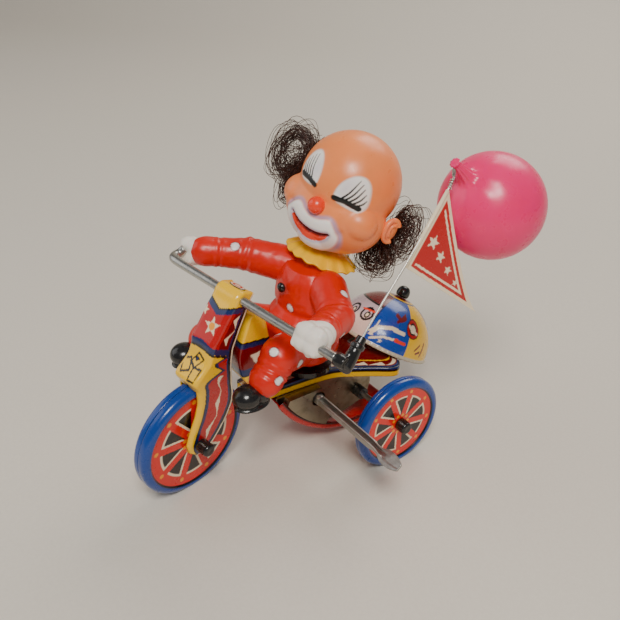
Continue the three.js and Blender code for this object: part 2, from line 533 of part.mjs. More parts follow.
const toWorld = (point) => point.clone().applyMatrix4(steering.matrixWorld);
const handRoom = (centre, [rx, ry, rz]) => {
  const turn = new THREE.Quaternion().setFromRotationMatrix(steering.matrixWorld);
  return ball(toWorld(centre), rx + GAP, ry + GAP, rz + GAP, 14, 8, turn);
};
const arms = [
  ['left', vec(14, -22, 92), vec(35, -27, 89), LEFT_HAND, [9.4, 8.6, 8.4]],
  ['right', vec(-14, -23, 93), vec(-29, -38, 97), RIGHT_HAND, [7.4, 8, 7.6]],
];
for (const [word, shoulder, elbow, grip, radii] of arms) {
  const hand = toWorld(grip);
  const room = handRoom(grip, radii);
  const wrist = elbow.clone().lerp(hand, 0.72);
  const cuffEnd = elbow.clone().lerp(hand, 0.8);
  const cuffStart = elbow.clone().lerp(hand, 0.52);
  const arm = joined(limb(shoulder, elbow, 9), limb(elbow, wrist, 7.2), rod(cuffStart, cuffEnd, 6.8, 10, 8))
    .subtract(bodyParts(GAP)).subtract(room);
  piece(`${word}_arm`, arm, suit());
}

// ---- head: turned and tipped back on a plug in the neck ------------------------------------------
const HEAD_AT = vec(0, 1, 135);
const headLeft = vec(0.93, 0.29, -0.22).normalize();
const headBack = vec(-0.349, 0.885, -0.307);
headBack.addScaledVector(headLeft, -headBack.dot(headLeft)).normalize();
const headUp = vec(0, 0, 0).crossVectors(headLeft, headBack);
const headFrame = new THREE.Matrix4().makeBasis(headLeft, headBack, headUp).setPosition(HEAD_AT);
const head = new THREE.Group();
head.applyMatrix4(headFrame);
group.add(head);
const skull = (grow) => joined(
  ball(vec(0, 0, 0), HEAD_R + grow, HEAD_R + grow, HEAD_R + grow, 16, 12),
  ball(vec(0, -4, -14), JAW[0] + grow, JAW[1] + grow, JAW[2] + grow, 16, 10),
);
const NOSE_AT = vec(0, -22, -11);
const noseRoom = ball(NOSE_AT, 3.8 + GAP, 3.8 + GAP, 3.8 + GAP, 12, 8);
const plugRoom = turnedZ([[0, -44], [7, -44], [7, -26], [0, -26]], 20, at(0, 2, 0));
piece('nose', ball(NOSE_AT, 3.8, 3.8, 3.8, 12, 8), red(), head);
piece('head', skull(0).subtract(noseRoom).subtract(plugRoom), skin(), head);
for (const [side, word] of [[1, 'left'], [-1, 'right']]) {
  const ear = ball(vec(side * 26.4, 3, -12), 2.8, 5, 6.4, 10, 6).subtract(skull(GAP));
  piece(`${word}_ear`, ear, skin(), head);
}
const earRoom = (side) => ball(vec(side * 26.4, 3, -12), 2.8 + GAP, 5 + GAP, 6.4 + GAP, 12, 8);
const tufts = [
  ['right', -1, ball(vec(-36.5, 6, -9), 14, 13, 19, 12, 8)],
  ['left', 1, ball(vec(27, 13, -16), 9, 11, 18, 12, 8).add(ball(vec(22.5, 12.5, -27), 10, 9.5, 11, 12, 8))],
];
// Room for the collar, all the way round as the head turns.
const collarRoom = turnedZ([[0, -36.5], [20.4, -36.5], [20.4, -32.6], [0, -32.6]], 24, at(0, 2, 0));
for (const [word, side, tuft] of tufts) {
  const shape = tuft.subtract(skull(GAP)).subtract(earRoom(side)).subtract(collarRoom);
  piece(`${word}_hair`, largest(shape), hair(), head);
}

// The neck plug stands on the body; the head turns on it about its own upright axis.
const plug = turnedZ([[0, -46], [6.4, -46], [6.4, -27], [0, -27]], 20,
  headFrame.clone().multiply(at(0, 2, 0)));
const bodyRoom = bodyParts(GAP).subtract(upperCut);
piece('neck_plug', largest(plug.subtract(bodyRoom)), cream());

const collarPlace = headFrame.clone().multiply(at(0, 0.6, -35));
const frill = [];
for (let i = 0; i < 32; i += 1) {
  const radius = 17 + (i % 4 < 2 ? 1.1 : -0.4);
  const angle = (i / 32) * Math.PI * 2;
  frill.push([radius * Math.cos(angle), radius * Math.sin(angle)]);
}
const frillPlate = new THREE.ExtrudeGeometry(shapeOf(frill), { depth: 1.6, bevelEnabled: false });
const collar = solid(frillPlate, collarPlace)
  .subtract(turnedZ([[0, -9], [7, -9], [7, 9], [0, 9]], 20, collarPlace.clone().multiply(at(0, 1.4, 0))))
  .subtract(bodyRoom);
piece('collar', largest(collar), yellow());

const button = ball(vec(0.8, -38.8, 92.6), 2.4, 1.8, 2.4, 12, 8).subtract(bodyRoom);
piece('coat_button', button, black());

// ---- the middle of the footprint becomes the origin -----------------------------------------------
group.updateMatrixWorld(true);
const bounds = new THREE.Box3().setFromObject(group, true);
const middle = bounds.getCenter(new THREE.Vector3());
group.position.set(-middle.x, -middle.y, -bounds.min.z);
group.updateMatrixWorld(true);

export default group;
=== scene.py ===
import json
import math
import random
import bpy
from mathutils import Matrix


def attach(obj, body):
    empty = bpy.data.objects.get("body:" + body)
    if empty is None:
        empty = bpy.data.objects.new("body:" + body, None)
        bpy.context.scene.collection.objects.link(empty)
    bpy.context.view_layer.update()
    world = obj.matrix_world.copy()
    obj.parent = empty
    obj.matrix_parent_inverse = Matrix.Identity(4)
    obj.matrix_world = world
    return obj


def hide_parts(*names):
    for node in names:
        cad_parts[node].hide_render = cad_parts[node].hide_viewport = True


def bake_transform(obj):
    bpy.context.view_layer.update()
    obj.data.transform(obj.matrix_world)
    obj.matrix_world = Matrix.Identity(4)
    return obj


bl_info = {
    "name": "Clockwork Clown Tricycle",
    "version": (1, 0, 0),
    "blender": (4, 5, 0),
    "location": "View3D > Sidebar > Tricycle",
    "description": "Printed tin, vinyl, hair and balloon surfaces for a wind-up tricycle",
    "category": "Object",
}

import bmesh
import bpy
import numpy as np
from bpy.props import FloatProperty, IntProperty, StringProperty
from mathutils import Matrix, Quaternion, Vector, noise

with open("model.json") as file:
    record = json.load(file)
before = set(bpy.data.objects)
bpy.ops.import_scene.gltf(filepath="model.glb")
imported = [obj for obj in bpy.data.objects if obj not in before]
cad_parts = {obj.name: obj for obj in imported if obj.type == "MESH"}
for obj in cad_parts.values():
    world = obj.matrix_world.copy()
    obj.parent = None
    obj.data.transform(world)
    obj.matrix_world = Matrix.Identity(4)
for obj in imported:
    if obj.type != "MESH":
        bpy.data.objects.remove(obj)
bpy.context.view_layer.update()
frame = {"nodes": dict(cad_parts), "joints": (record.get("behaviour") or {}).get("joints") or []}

# ---- sizes and frames: each part is drawn in millimetres in a frame of its own ---------------------
MM = 0.001
REAR_RADIUS = 24.0
REAR_WIDTH = 6.6
REAR_MIDDLE = 42.9
FRONT_RADIUS = 29.3
FRONT_WIDTH = 8.7
RIM_WIDTH = 3.3
FORK_HALF = 7.5
TIN = 0.8
BALLOON_RADIUS = 23.3
BELL_RADIUS = 26.0
BELL_HEIGHT = 25.0
BELL_AT = (0, 0.0237, 0.0406)
BELL_LEAN = math.radians(-31.5)
HEAD_ACROSS = (0.931, 0.290, -0.220)
JOINTS = {joint["name"]: joint for joint in frame["joints"]}


def frame_from(across, up, origin):
    """A frame whose x is across, whose z is up and whose origin is in metres."""
    x, z = Vector(across).normalized(), Vector(up).normalized()
    y = z.cross(x).normalized()
    x = y.cross(z)
    turn = Matrix((x, y, z)).transposed().to_4x4()
    return Matrix.Translation(Vector(origin)) @ turn


REAR_AXLE = Vector(JOINTS["rear_wheel_spin"]["pos_m"])
GROUND = Matrix.Translation((REAR_AXLE.x, REAR_AXLE.y, 0.0))
STEERING = frame_from(
    JOINTS["front_wheel_spin"]["axis"], JOINTS["steer"]["axis"], JOINTS["steer"]["pos_m"]
)
HEAD_PIVOT = Vector((0.0, 2.0, 0.0))
HEAD = frame_from(HEAD_ACROSS, JOINTS["head_turn"]["axis"], JOINTS["head_turn"]["pos_m"])
HEAD = HEAD @ Matrix.Translation(-HEAD_PIVOT * MM)
BELL = GROUND @ Matrix.Translation(BELL_AT) @ Matrix.Rotation(BELL_LEAN, 4, "X")
AXLE_TURN = Matrix.Rotation(math.radians(90), 4, "Y")


def carried(point, source, target):
    """A point in mm of the source frame, in mm of the target frame."""
    return target.inverted() @ source @ (Vector(point) * MM) / MM


# ---- properties ------------------------------------------------------------------------------------
class TricycleFinish(bpy.types.PropertyGroup):
    """Sizes and colours that a user would change"""

    print_step: FloatProperty(
        name="Print step", description="Spacing of the points that carry the print, in mm",
        default=0.42, min=0.2, max=2.0,
    )
    hair_count: IntProperty(
        name="Hairs", description="Strands in each tuft", default=230, min=20, max=600,
    )
    suit: StringProperty(name="Suit", description="sRGB hex of the vinyl suit", default="DC1C00")
    skin: StringProperty(name="Skin", description="sRGB hex of the vinyl head", default="FC8E4C")
    balloon: StringProperty(name="Balloon", description="sRGB hex of the balloon", default="FF2878")
    tyre: StringProperty(name="Tyre", description="sRGB hex of the printed tyre", default="003E92")
    wheel: StringProperty(name="Wheel", description="sRGB hex of the wheel disc", default="E41200")


def finish():
    """The finish settings of this scene."""
    return bpy.context.scene.tricycle_finish


# ---- colour and nodes ------------------------------------------------------------------------------
INK = {
    "cream": "F6E3C0", "yellow": "FFC800", "orange": "FFA010", "black": "090807",
    "navy": "12265E", "blue": "0A46A8", "red": "BE0808", "deep red": "780408", "pale": "E8CDBD",
    "white": "FBF5EE", "lavender": "A89CC0", "lip": "F4401C", "mouth": "8A0A0C", "blush": "F08A5A",
}


def linear(hex_colour):
    """An sRGB hex colour as linear red, green, blue and alpha."""
    values = [int(hex_colour[i:i + 2], 16) / 255 for i in (0, 2, 4)]
    flat = [v / 12.92 if v <= 0.04045 else ((v + 0.055) / 1.055) ** 2.4 for v in values]
    return (*flat, 1.0)


def ink(name):
    """A printing ink as a linear colour array."""
    return np.array(linear(INK.get(name, name)))


def add(tree, kind, settings=None, links=None):
    """Adds a node. A setting names an input socket or an attribute; a link names an input socket."""
    node = tree.nodes.new(kind)
    for key, value in (settings or {}).items():
        if isinstance(key, int) or key in node.inputs:
            node.inputs[key].default_value = value
        else:
            setattr(node, key, value)
    for key, socket in (links or {}).items():
        tree.links.new(socket, node.inputs[key])
    return node


def new_material(name):
    """An empty node material with its output, its shader and coordinates in mm."""
    material = bpy.data.materials.new(name)
    material.use_nodes = True
    tree = material.node_tree
    tree.nodes.clear()
    output = add(tree, "ShaderNodeOutputMaterial")
    shader = add(tree, "ShaderNodeBsdfPrincipled")
    tree.links.new(shader.outputs["BSDF"], output.inputs["Surface"])
    where = add(tree, "ShaderNodeTexCoord")
    coords = add(tree, "ShaderNodeVectorMath", {"operation": "SCALE", "Scale": 1 / MM},
                 {0: where.outputs["Object"]})
    return material, tree, shader, coords.outputs[0]


def patches(tree, coords, size_mm, detail):
    """Noise whose patches are one size, from 0 to 1."""
    settings = {"Scale": 1 / size_mm, "Detail": detail}
    return add(tree, "ShaderNodeTexNoise", settings, {"Vector": coords}).outputs["Fac"]


def spread(tree, value, low, high, new_low, new_high):
    """A value moved from one range to another and held inside it."""
    settings = {"From Min": low, "From Max": high, "To Min": new_low, "To Max": new_high}
    return add(tree, "ShaderNodeMapRange", settings, {"Value": value}).outputs["Result"]


def tint(tree, shader, amount, first, second):
    """Base colour between two colours by an amount; the first may be a socket."""
    settings, links = {"data_type": "RGBA", "B": second}, {"Factor": amount}
    (links if isinstance(first, bpy.types.NodeSocket) else settings)["A"] = first
    mixed = add(tree, "ShaderNodeMix", settings, links)
    tree.links.new(mixed.outputs["Result"], shader.inputs["Base Color"])


def roughen(tree, shader, coords, grain_mm, low, high, bump_mm):
    """Uneven gloss and a shallow relief of one grain size."""
    grain = patches(tree, coords, grain_mm, 4.0)
    tree.links.new(spread(tree, grain, 0.3, 0.7, low, high), shader.inputs["Roughness"])
    relief = add(tree, "ShaderNodeBump", {"Strength": 1.0, "Distance": bump_mm * MM}, {"Height": grain})
    tree.links.new(relief.outputs["Normal"], shader.inputs["Normal"])


def scatter(shader, weight, radius, scale_mm):
    """Light that enters the skin and comes out nearby."""
    shader.inputs["Subsurface Weight"].default_value = weight
    shader.inputs["Subsurface Radius"].default_value = radius
    shader.inputs["Subsurface Scale"].default_value = scale_mm * MM


def printed_tinplate(name, dent_mm=9.0):
    """Offset-printed tinplate under a clear varnish: flat inks, wet gloss and faint dents."""
    material, tree, shader, coords = new_material(name)
    art = add(tree, "ShaderNodeAttribute", {"attribute_name": "art"})
    worn = spread(tree, patches(tree, coords, 0.35, 2.0), 0.62, 0.8, 0.0, 0.25)
    tint(tree, shader, worn, art.outputs["Color"], (0.02, 0.017, 0.014, 1))
    roughen(tree, shader, coords, dent_mm, 0.2, 0.36, 0.12)
    shader.inputs["IOR"].default_value = 1.5
    shader.inputs["Coat Weight"].default_value = 0.4
    shader.inputs["Coat Roughness"].default_value = 0.08
    return material


def soft_vinyl(name, hex_colour=None, subsurface=0.08, relief_mm=0.06):
    """Rotation-moulded soft vinyl: a satin skin that lets a little light in and holds sprayed paint."""
    material, tree, shader, coords = new_material(name)
    if hex_colour:
        base = add(tree, "ShaderNodeRGB")
        base.outputs[0].default_value = linear(hex_colour)
        source = base.outputs[0]
    else:
        source = add(tree, "ShaderNodeAttribute", {"attribute_name": "art"}).outputs["Color"]
    shade = spread(tree, patches(tree, coords, 14.0, 3.0), 0.3, 0.7, 0.93, 1.05)
    shaded = add(tree, "ShaderNodeVectorMath", {"operation": "SCALE"}, {0: source, "Scale": shade})
    tree.links.new(shaded.outputs[0], shader.inputs["Base Color"])
    roughen(tree, shader, coords, 5.0, 0.27, 0.42, relief_mm)
    shader.inputs["IOR"].default_value = 1.52
    scatter(shader, subsurface, (0.9, 0.35, 0.2), 1.5)
    return material


def moulded_plastic(name, hex_colour, low=0.12, high=0.3):
    """Injection-moulded polystyrene: hard gloss with hairline handling marks."""
    material, tree, shader, coords = new_material(name)
    scuffed = tuple(min(1, c * 1.6 + 0.012) for c in linear(hex_colour))
    tint(tree, shader, patches(tree, coords, 1.6, 5.0), linear(hex_colour), scuffed)
    roughen(tree, shader, coords, 3.0, low, high, 0.05)
    shader.inputs["IOR"].default_value = 1.59
    return material


def worked_metal(name, hex_colour, low, high, grain_mm, stain="4A4238", stain_low=0.56, bump_mm=0.012):
    """Bare worked metal: drawn or rolled grain with grey-brown handling stains."""
    material, tree, shader, coords = new_material(name)
    stained = spread(tree, patches(tree, coords, 6.0, 6.0), stain_low, 0.75, 0.0, 0.6)
    tint(tree, shader, stained, linear(hex_colour), linear(stain))
    roughen(tree, shader, coords, grain_mm, low, high, bump_mm)
    shader.inputs["Metallic"].default_value = 1.0
    return material


def balloon_skin(name, hex_colour):
    """Blown thin PVC: a bright, slightly see-through skin with a soft orange-peel gloss."""
    material, tree, shader, coords = new_material(name)
    tint(tree, shader, patches(tree, coords, 18.0, 2.0), linear(hex_colour), linear("F01468"))
    roughen(tree, shader, coords, 7.0, 0.24, 0.36, 0.1)
    shader.inputs["IOR"].default_value = 1.53
    scatter(shader, 0.35, (1.0, 0.3, 0.45), 4.0)
    return material


def nylon_hair(name):
    """Fine nylon doll hair: dark brown strands that catch a warm light along their length."""
    material, tree, shader, coords = new_material(name)
    tint(tree, shader, patches(tree, coords, 2.2, 2.0), linear("1C0903"), linear("4E2412"))
    roughen(tree, shader, coords, 1.0, 0.3, 0.5, 0.01)
    return material


def floor_paper(name):
    """Matt backdrop paper: pale, with a barely seen fibre."""
    material, tree, shader, coords = new_material(name)
    tint(tree, shader, patches(tree, coords, 1.4, 6.0), linear("D6CEC0"), linear("E0D9CC"))
    shader.inputs["Roughness"].default_value = 0.9
    return material


MATERIALS = {
    "print": lambda: printed_tinplate("printed_tinplate"),
    "suit": lambda: soft_vinyl("soft_vinyl_suit", None, 0.05, 0.05),
    "head": lambda: soft_vinyl("soft_vinyl_head", None, 0.12, 0.05),
    "glove": lambda: soft_vinyl("soft_vinyl_white", "F6EEE2", 0.1, 0.08),
    "collar": lambda: soft_vinyl("soft_vinyl_yellow", "FFC400", 0.06, 0.15),
    "nose": lambda: moulded_plastic("lacquered_vinyl_red", "F23000", 0.22, 0.35),
    "black": lambda: moulded_plastic("moulded_polystyrene_black", "0B0A09"),
    "chrome": lambda: worked_metal("nickel_plated_steel", "B9B8B2", 0.24, 0.4, 2.5, "77736A", 0.56, 0.004),
    "steel": lambda: worked_metal("drawn_mild_steel", "A8A6A0", 0.3, 0.5, 0.8, "6A665E", 0.6),
    "tinplate": lambda: worked_metal("bare_tinplate", "A89E88", 0.26, 0.44, 2.0, "5C5444", 0.5),
    "wire": lambda: worked_metal("bright_spring_wire", "D8D4CA", 0.25, 0.4, 1.5, bump_mm=0.002),
    "balloon": lambda: balloon_skin("blown_pvc_pink", finish().balloon),
    "hair": lambda: nylon_hair("nylon_hair_brown"),
    "paper": lambda: floor_paper("backdrop_paper"),
}
made = {}


def material(name):
    """The named material, made the first time it is asked for."""
    if name not in made:
        made[name] = MATERIALS[name]()
    return made[name]


# ---- meshes ----------------------------------------------------------------------------------------
def piece(name, points, faces, place, body, finish_name, replaces=(), art=None, smooth=True):
    """A mesh drawn in mm in one frame, put in place, riding on a body and standing for CAD nodes."""
    world = np.c_[np.asarray(points, float) * MM, np.ones(len(points))] @ np.array(place).T
    mesh = bpy.data.meshes.new(name)
    mesh.from_pydata(world[:, :3].tolist(), [], [list(map(int, f)) for f in faces])
    mesh.validate()
    mesh.update()
    if art is not None:
        colours = mesh.color_attributes.new("art", "FLOAT_COLOR", "POINT")
        colours.data.foreach_set("color", np.asarray(art, np.float32).reshape(-1))
    thing = bpy.data.objects.new(name, mesh)
    bpy.context.scene.collection.objects.link(thing)
    mesh.materials.append(material(finish_name))
    tidy = bmesh.new()
    tidy.from_mesh(mesh)
    bmesh.ops.recalc_face_normals(tidy, faces=tidy.faces)
    tidy.to_mesh(mesh)
    tidy.free()
    mesh.polygons.foreach_set("use_smooth", [smooth] * len(mesh.polygons))
    if replaces:
        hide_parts(*replaces)
    if body:
        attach(thing, body)
    return thing


def apply_modifiers(thing):
    """Turns an object's modifiers into its mesh."""
    graph = bpy.context.evaluated_depsgraph_get()
    mesh = bpy.data.meshes.new_from_object(thing.evaluated_get(graph))
    old = thing.data
    thing.modifiers.clear()
    thing.data = mesh
    bpy.data.meshes.remove(old)


def thicken(thing, thickness_mm, offset=-1.0):
    """Gives a sheet its thickness: inwards at -1, outwards at 1, both ways at 0."""
    solid = thing.modifiers.new("thickness", "SOLIDIFY")
    solid.thickness = thickness_mm * MM
    solid.offset = offset
    apply_modifiers(thing)


def grid(rows, columns, loop_rows=False, loop_columns=False, keep=None):
    """Quads over a grid of points numbered row by row."""
    faces = []
    for r in range(rows if loop_rows else rows - 1):
        for c in range(columns if loop_columns else columns - 1):
            if keep is not None and not keep[r, c]:
                continue
            r2, c2 = (r + 1) % rows, (c + 1) % columns
            faces.append((r * columns + c, r * columns + c2, r2 * columns + c2, r2 * columns + c))
    return faces


def grid_between(first, second, count):
    """Quads that join two rings of the same count, by the numbers of their first points."""
    return [(first + k, first + (k + 1) % count, second + (k + 1) % count, second + k) for k in range(count)]


def resample(points, step, closed=False):
    """Points along a polyline, evenly spaced."""
    line = np.asarray(points, float)
    if closed:
        line = np.vstack([line, line[:1]])
    length = np.r_[0, np.cumsum(np.linalg.norm(np.diff(line, axis=0), axis=1))]
    count = max(2, int(math.ceil(length[-1] / step)) + 1)
    at = np.linspace(0, length[-1], count)
    return np.column_stack([np.interp(at, length, line[:, k]) for k in range(line.shape[1])])


def rounded(points, turns=3):
    """Cuts the corners of an open polyline, keeping its ends."""
    line = np.asarray(points, float)
    for _ in range(turns):
        near = line[:-1] * 0.75 + line[1:] * 0.25
        far = line[:-1] * 0.25 + line[1:] * 0.75
        line = np.vstack([line[:1], np.stack([near, far], 1).reshape(-1, line.shape[1])[1:-1], line[-1:]])
    return line


def lathe(profile, sides):
    """Points turned about z from (radius, height) pairs; a radius of 0 closes the end."""
    turn = np.linspace(0, 2 * math.pi, sides, endpoint=False)
    ring = np.array([[(r * math.cos(a), r * math.sin(a), h) for a in turn] for r, h in profile])
    return ring.reshape(-1, 3), grid(len(profile), sides, loop_columns=True)


def sweep(path, radius, sides=12, steps=None, caps=True):
    """A tube along a path; radius is a number, or a list with one for each point of the path."""
    line = np.asarray(path, float)
    if steps:
        line = resample(rounded(line), steps)
    radii = np.interp(np.linspace(0, 1, len(line)), np.linspace(0, 1, np.size(radius)),
                      np.atleast_1d(radius))
    tangent = np.gradient(line, axis=0)
    tangent /= np.linalg.norm(tangent, axis=1)[:, None]
    side = np.cross(tangent[0], (0, 0, 1) if abs(tangent[0][2]) < 0.9 else (1, 0, 0))
    points = []
    for centre, way, r in zip(line, tangent, radii):
        side = side - way * side.dot(way)
        side /= np.linalg.norm(side)
        other = np.cross(way, side)
        for k in range(sides):
            angle = 2 * math.pi * k / sides
            points.append(centre + r * (math.cos(angle) * side + math.sin(angle) * other))
    faces = grid(len(line), sides, loop_columns=True)
    if caps:
        faces.append(tuple(range(sides))[::-1])
        last = (len(line) - 1) * sides
        faces.append(tuple(range(last, last + sides)))
    return np.array(points), faces


def merged(*parts):
    """Several (points, faces) as one."""
    points, faces, start = [], [], 0
    for more_points, more_faces in parts:
        points.append(np.asarray(more_points, float))
        faces += [tuple(i + start for i in face) for face in more_faces]
        start += len(more_points)
    return np.vstack(points), faces


def ellipsoid(centre, radii, turn=None, segments=32, rings=20):
    """A closed ellipsoid as points and faces."""
    shape = bmesh.new()
    bmesh.ops.create_uvsphere(shape, u_segments=segments, v_segments=rings, radius=1.0)
    spin = (turn or Quaternion()).to_matrix()
    points = np.array([spin @ Vector(v.co[k] * radii[k] for k in range(3)) + Vector(centre)
                       for v in shape.verts])
    faces = [tuple(v.index for v in f.verts) for f in shape.faces]
    shape.free()
    return points, faces


def limb(a, b, radius_a, radius_b):
    """A round-ended tapering limb."""
    a, b = np.array(a, float), np.array(b, float)
    way = (b - a) / np.linalg.norm(b - a)
    count = 8
    along = np.linspace(0, math.pi / 2, count)
    path, radii = [], []
    for t in along[:-1]:
        path.append(a - way * radius_a * math.cos(t))
        radii.append(max(radius_a * math.sin(t), 0.05))
    for t in np.linspace(0, 1, 6):
        path.append(a + (b - a) * t)
        radii.append(radius_a + (radius_b - radius_a) * t)
    for t in along[::-1][1:]:
        path.append(b + way * radius_b * math.cos(t))
        radii.append(max(radius_b * math.sin(t), 0.05))
    line = np.array(path)
    side = np.cross(way, (0.2, 0.3, 0.9))
    side /= np.linalg.norm(side)
    other = np.cross(way, side)
    sides = 24
    points = [p + r * (math.cos(2 * math.pi * k / sides) * side + math.sin(2 * math.pi * k / sides) * other)
              for p, r in zip(line, radii) for k in range(sides)]
    faces = grid(len(line), sides, loop_columns=True)
    faces += [tuple(range(sides))[::-1], tuple(range(len(points) - sides, len(points)))]
    return np.array(points), faces


def moulded(shapes, voxel, smoothing):
    """Closed shapes that overlap, melted into one skin and smoothed; points in mm and faces."""
    points, faces = merged(*shapes)
    mesh = bpy.data.meshes.new("melt")
    mesh.from_pydata((points * MM).tolist(), [], faces)
    thing = bpy.data.objects.new("melt", mesh)
    bpy.context.scene.collection.objects.link(thing)
    remesh = thing.modifiers.new("melt", "REMESH")
    remesh.mode = "VOXEL"
    remesh.voxel_size = voxel * MM
    smooth = thing.modifiers.new("smooth", "SMOOTH")
    smooth.factor = 0.5
    smooth.iterations = smoothing
    graph = bpy.context.evaluated_depsgraph_get()
    result = bpy.data.meshes.new_from_object(thing.evaluated_get(graph))
    out = np.zeros(len(result.vertices) * 3)
    result.vertices.foreach_get("co", out)
    normals = np.zeros(len(result.vertices) * 3)
    result.vertices.foreach_get("normal", normals)
    polygons = [tuple(p.vertices) for p in result.polygons]
    bpy.data.objects.remove(thing)
    bpy.data.meshes.remove(mesh)
    bpy.data.meshes.remove(result)
    return out.reshape(-1, 3) / MM, polygons, normals.reshape(-1, 3)


# ---- artwork: masks over arrays of points ----------------------------------------------------------
def stroke(x, y, line):
    """Distance from each point to a polyline."""
    best = np.full(np.shape(x), 1e9)
    for (ax, ay), (bx, by) in zip(line[:-1], line[1:]):
        dx, dy = bx - ax, by - ay
        t = np.clip(((x - ax) * dx + (y - ay) * dy) / (dx * dx + dy * dy + 1e-12), 0, 1)
        best = np.minimum(best, np.hypot(x - ax - t * dx, y - ay - t * dy))
    return best


def inside(x, y, outline):
    """Whether each point is inside a closed outline."""
    hit = np.zeros(np.shape(x), bool)
    for (ax, ay), (bx, by) in zip(outline, [*outline[1:], outline[0]]):
        crosses = (ay > y) != (by > y)
        hit ^= crosses & (x < (bx - ax) * (y - ay) / (by - ay + 1e-12) + ax)
    return hit


def blank(count, colour):
    """One colour for every point."""
    return np.tile(ink(colour), (count, 1))


def paint(colours, *layers):
    """Lays (mask, ink) layers over the colours, in order."""
    for mask, name in layers:
        colours[mask] = ink(name)
    return colours


def blend_in(colours, amount, name):
    """Lays an ink over the colours by an amount from 0 to 1 at each point."""
    share = np.clip(amount, 0, 1)[:, None]
    colours[:] = colours * (1 - share) + ink(name) * share
    return colours


def star_outline(x, y, radius, waist=0.42, lean=0.0):
    """Five-pointed star."""
    spikes = []
    for k in range(10):
        angle = math.pi / 2 + lean + k * math.pi / 5
        r = radius if k % 2 == 0 else radius * waist
        spikes.append((x + r * math.cos(angle), y + r * math.sin(angle)))
    return spikes


def lightning(across, along, middle, period, swing, thin, thick):
    """A zigzag whose limbs swell at every other corner."""
    phase = (along / period) % 1.0
    wave = np.abs(phase * 2 - 1) * 2 - 1
    width = thin + (thick - thin) * np.clip(1 - np.abs(phase - 0.5) * 3.2, 0, 1)
    return np.abs(across - middle - swing * wave) < width


# ---- wheels ----------------------------------------------------------------------------------------
SPOKES = 9


def wheel_half(radius, width):
    """Side view of one pressed wheel half: dished disc, round shoulder and tread, from bore to rim."""
    half = width / 2
    disc = radius - RIM_WIDTH
    shoulder = [(disc + RIM_WIDTH * math.sin(a), half - 2.3 + 2.3 * math.cos(a))
                for a in np.linspace(0.12, math.pi / 2, 9)]
    line = [(1.8, half - 1.3), (disc - 1.4, half - 1.3), (disc - 0.5, half - 1.1), (disc + 0.1, half - 0.4)]
    return resample([*line, *shoulder, (radius, 0.15)], finish().print_step)


def wheel_art(points, radius):
    """Red disc, black windows edged in cream, dots on the rim and round the hub, a blue tyre."""
    r = np.hypot(points[:, 0], points[:, 1])
    turn = np.arctan2(points[:, 1], points[:, 0])
    disc = radius - RIM_WIDTH
    sector = (turn * SPOKES / (2 * math.pi)) % 1.0 - 0.5
    arc = sector * 2 * math.pi / SPOKES * r
    to_spoke = math.pi / SPOKES * r - np.abs(arc)
    spoke = 0.075 * disc
    window = (r > 0.27 * disc) & (r < 0.765 * disc) & (to_spoke > spoke)
    edge = window & ((r > 0.72 * disc) | ((arc > 0) & (to_spoke < spoke + 0.045 * disc)))
    rim_dot = np.hypot(r - 0.865 * disc, to_spoke) < 0.045 * disc
    hub_turn = (turn * 10 / (2 * math.pi)) % 1.0 - 0.5
    hub_dot = np.hypot(r - 0.235 * disc, hub_turn * 2 * math.pi / 10 * r) < 0.042 * disc
    return paint(
        blank(len(points), finish().wheel), (window, "black"), (edge, "cream"), (rim_dot, "orange"),
        (hub_dot, "orange"), (r > disc - 0.5, "black"), (r > disc + 0.3, finish().tyre),
    )


def wheel(name, radius, width, middle, side, place, body, node, slot):
    """One half wheel facing away from the middle of its axle, or towards it."""
    sides = int(2 * math.pi * radius / (finish().print_step * 1.25))
    points, faces = lathe(wheel_half(radius, width), sides)
    art = wheel_art(points, radius)
    points[:, 2] *= side
    points[:, 2] += middle
    half = piece(name, points, faces, place @ AXLE_TURN, body, "print", (node,), art)
    thicken(half, 0.5, 1.0)


def cap(name, place, body, node, start, side, radius, length):
    """A push-on axle cap with a soft edge and a shallow dimple."""
    profile = [(1.9, 0.0), (radius - 0.4, 0.0), (radius, 0.5), (radius * 0.97, length - 1.3),
               (radius * 0.86, length - 0.4), (radius * 0.6, length), (0.0, length - 0.25)]
    points, faces = lathe(resample(rounded(profile, 2), 0.35), 40)
    points[:, 2] = start + side * points[:, 2]
    piece(name, points, faces, place @ AXLE_TURN, body, "black", (node,))


class TRICYCLE_OT_wheels(bpy.types.Operator):
    """Press and print the three wheels and push on their axle caps"""

    bl_idname = "tricycle.wheels"
    bl_label = "Wheels"

    def execute(self, context):
        rear = GROUND @ Matrix.Translation((0, 0, REAR_RADIUS * MM))
        for side, word in ((1, "left"), (-1, "right")):
            for face, half in ((side, "outer"), (-side, "inner")):
                node = f"rear_{word}_wheel_{half}"
                slot = "wheel_lithograph" if half == "outer" else "tyre_blue_tin"
                wheel(f"pressed_{node}", REAR_RADIUS, REAR_WIDTH, side * REAR_MIDDLE, face, rear,
                      "rear_wheels", node, slot)
            cap(f"moulded_rear_{word}_cap", rear, "rear_wheels", f"rear_{word}_hub_cap",
                side * 45.2, side, 3.3, 6.0)
            node = f"front_wheel_{word}_half"
            wheel(f"pressed_{node}", FRONT_RADIUS, FRONT_WIDTH, 0.0, side, STEERING, "front_wheel", node,
                  "wheel_lithograph")
            cap(f"moulded_front_{word}_cap", STEERING, "front_wheel", f"front_{word}_axle_cap",
                side * 8.0, side, 3.4, 7.0)
        return {"FINISHED"}


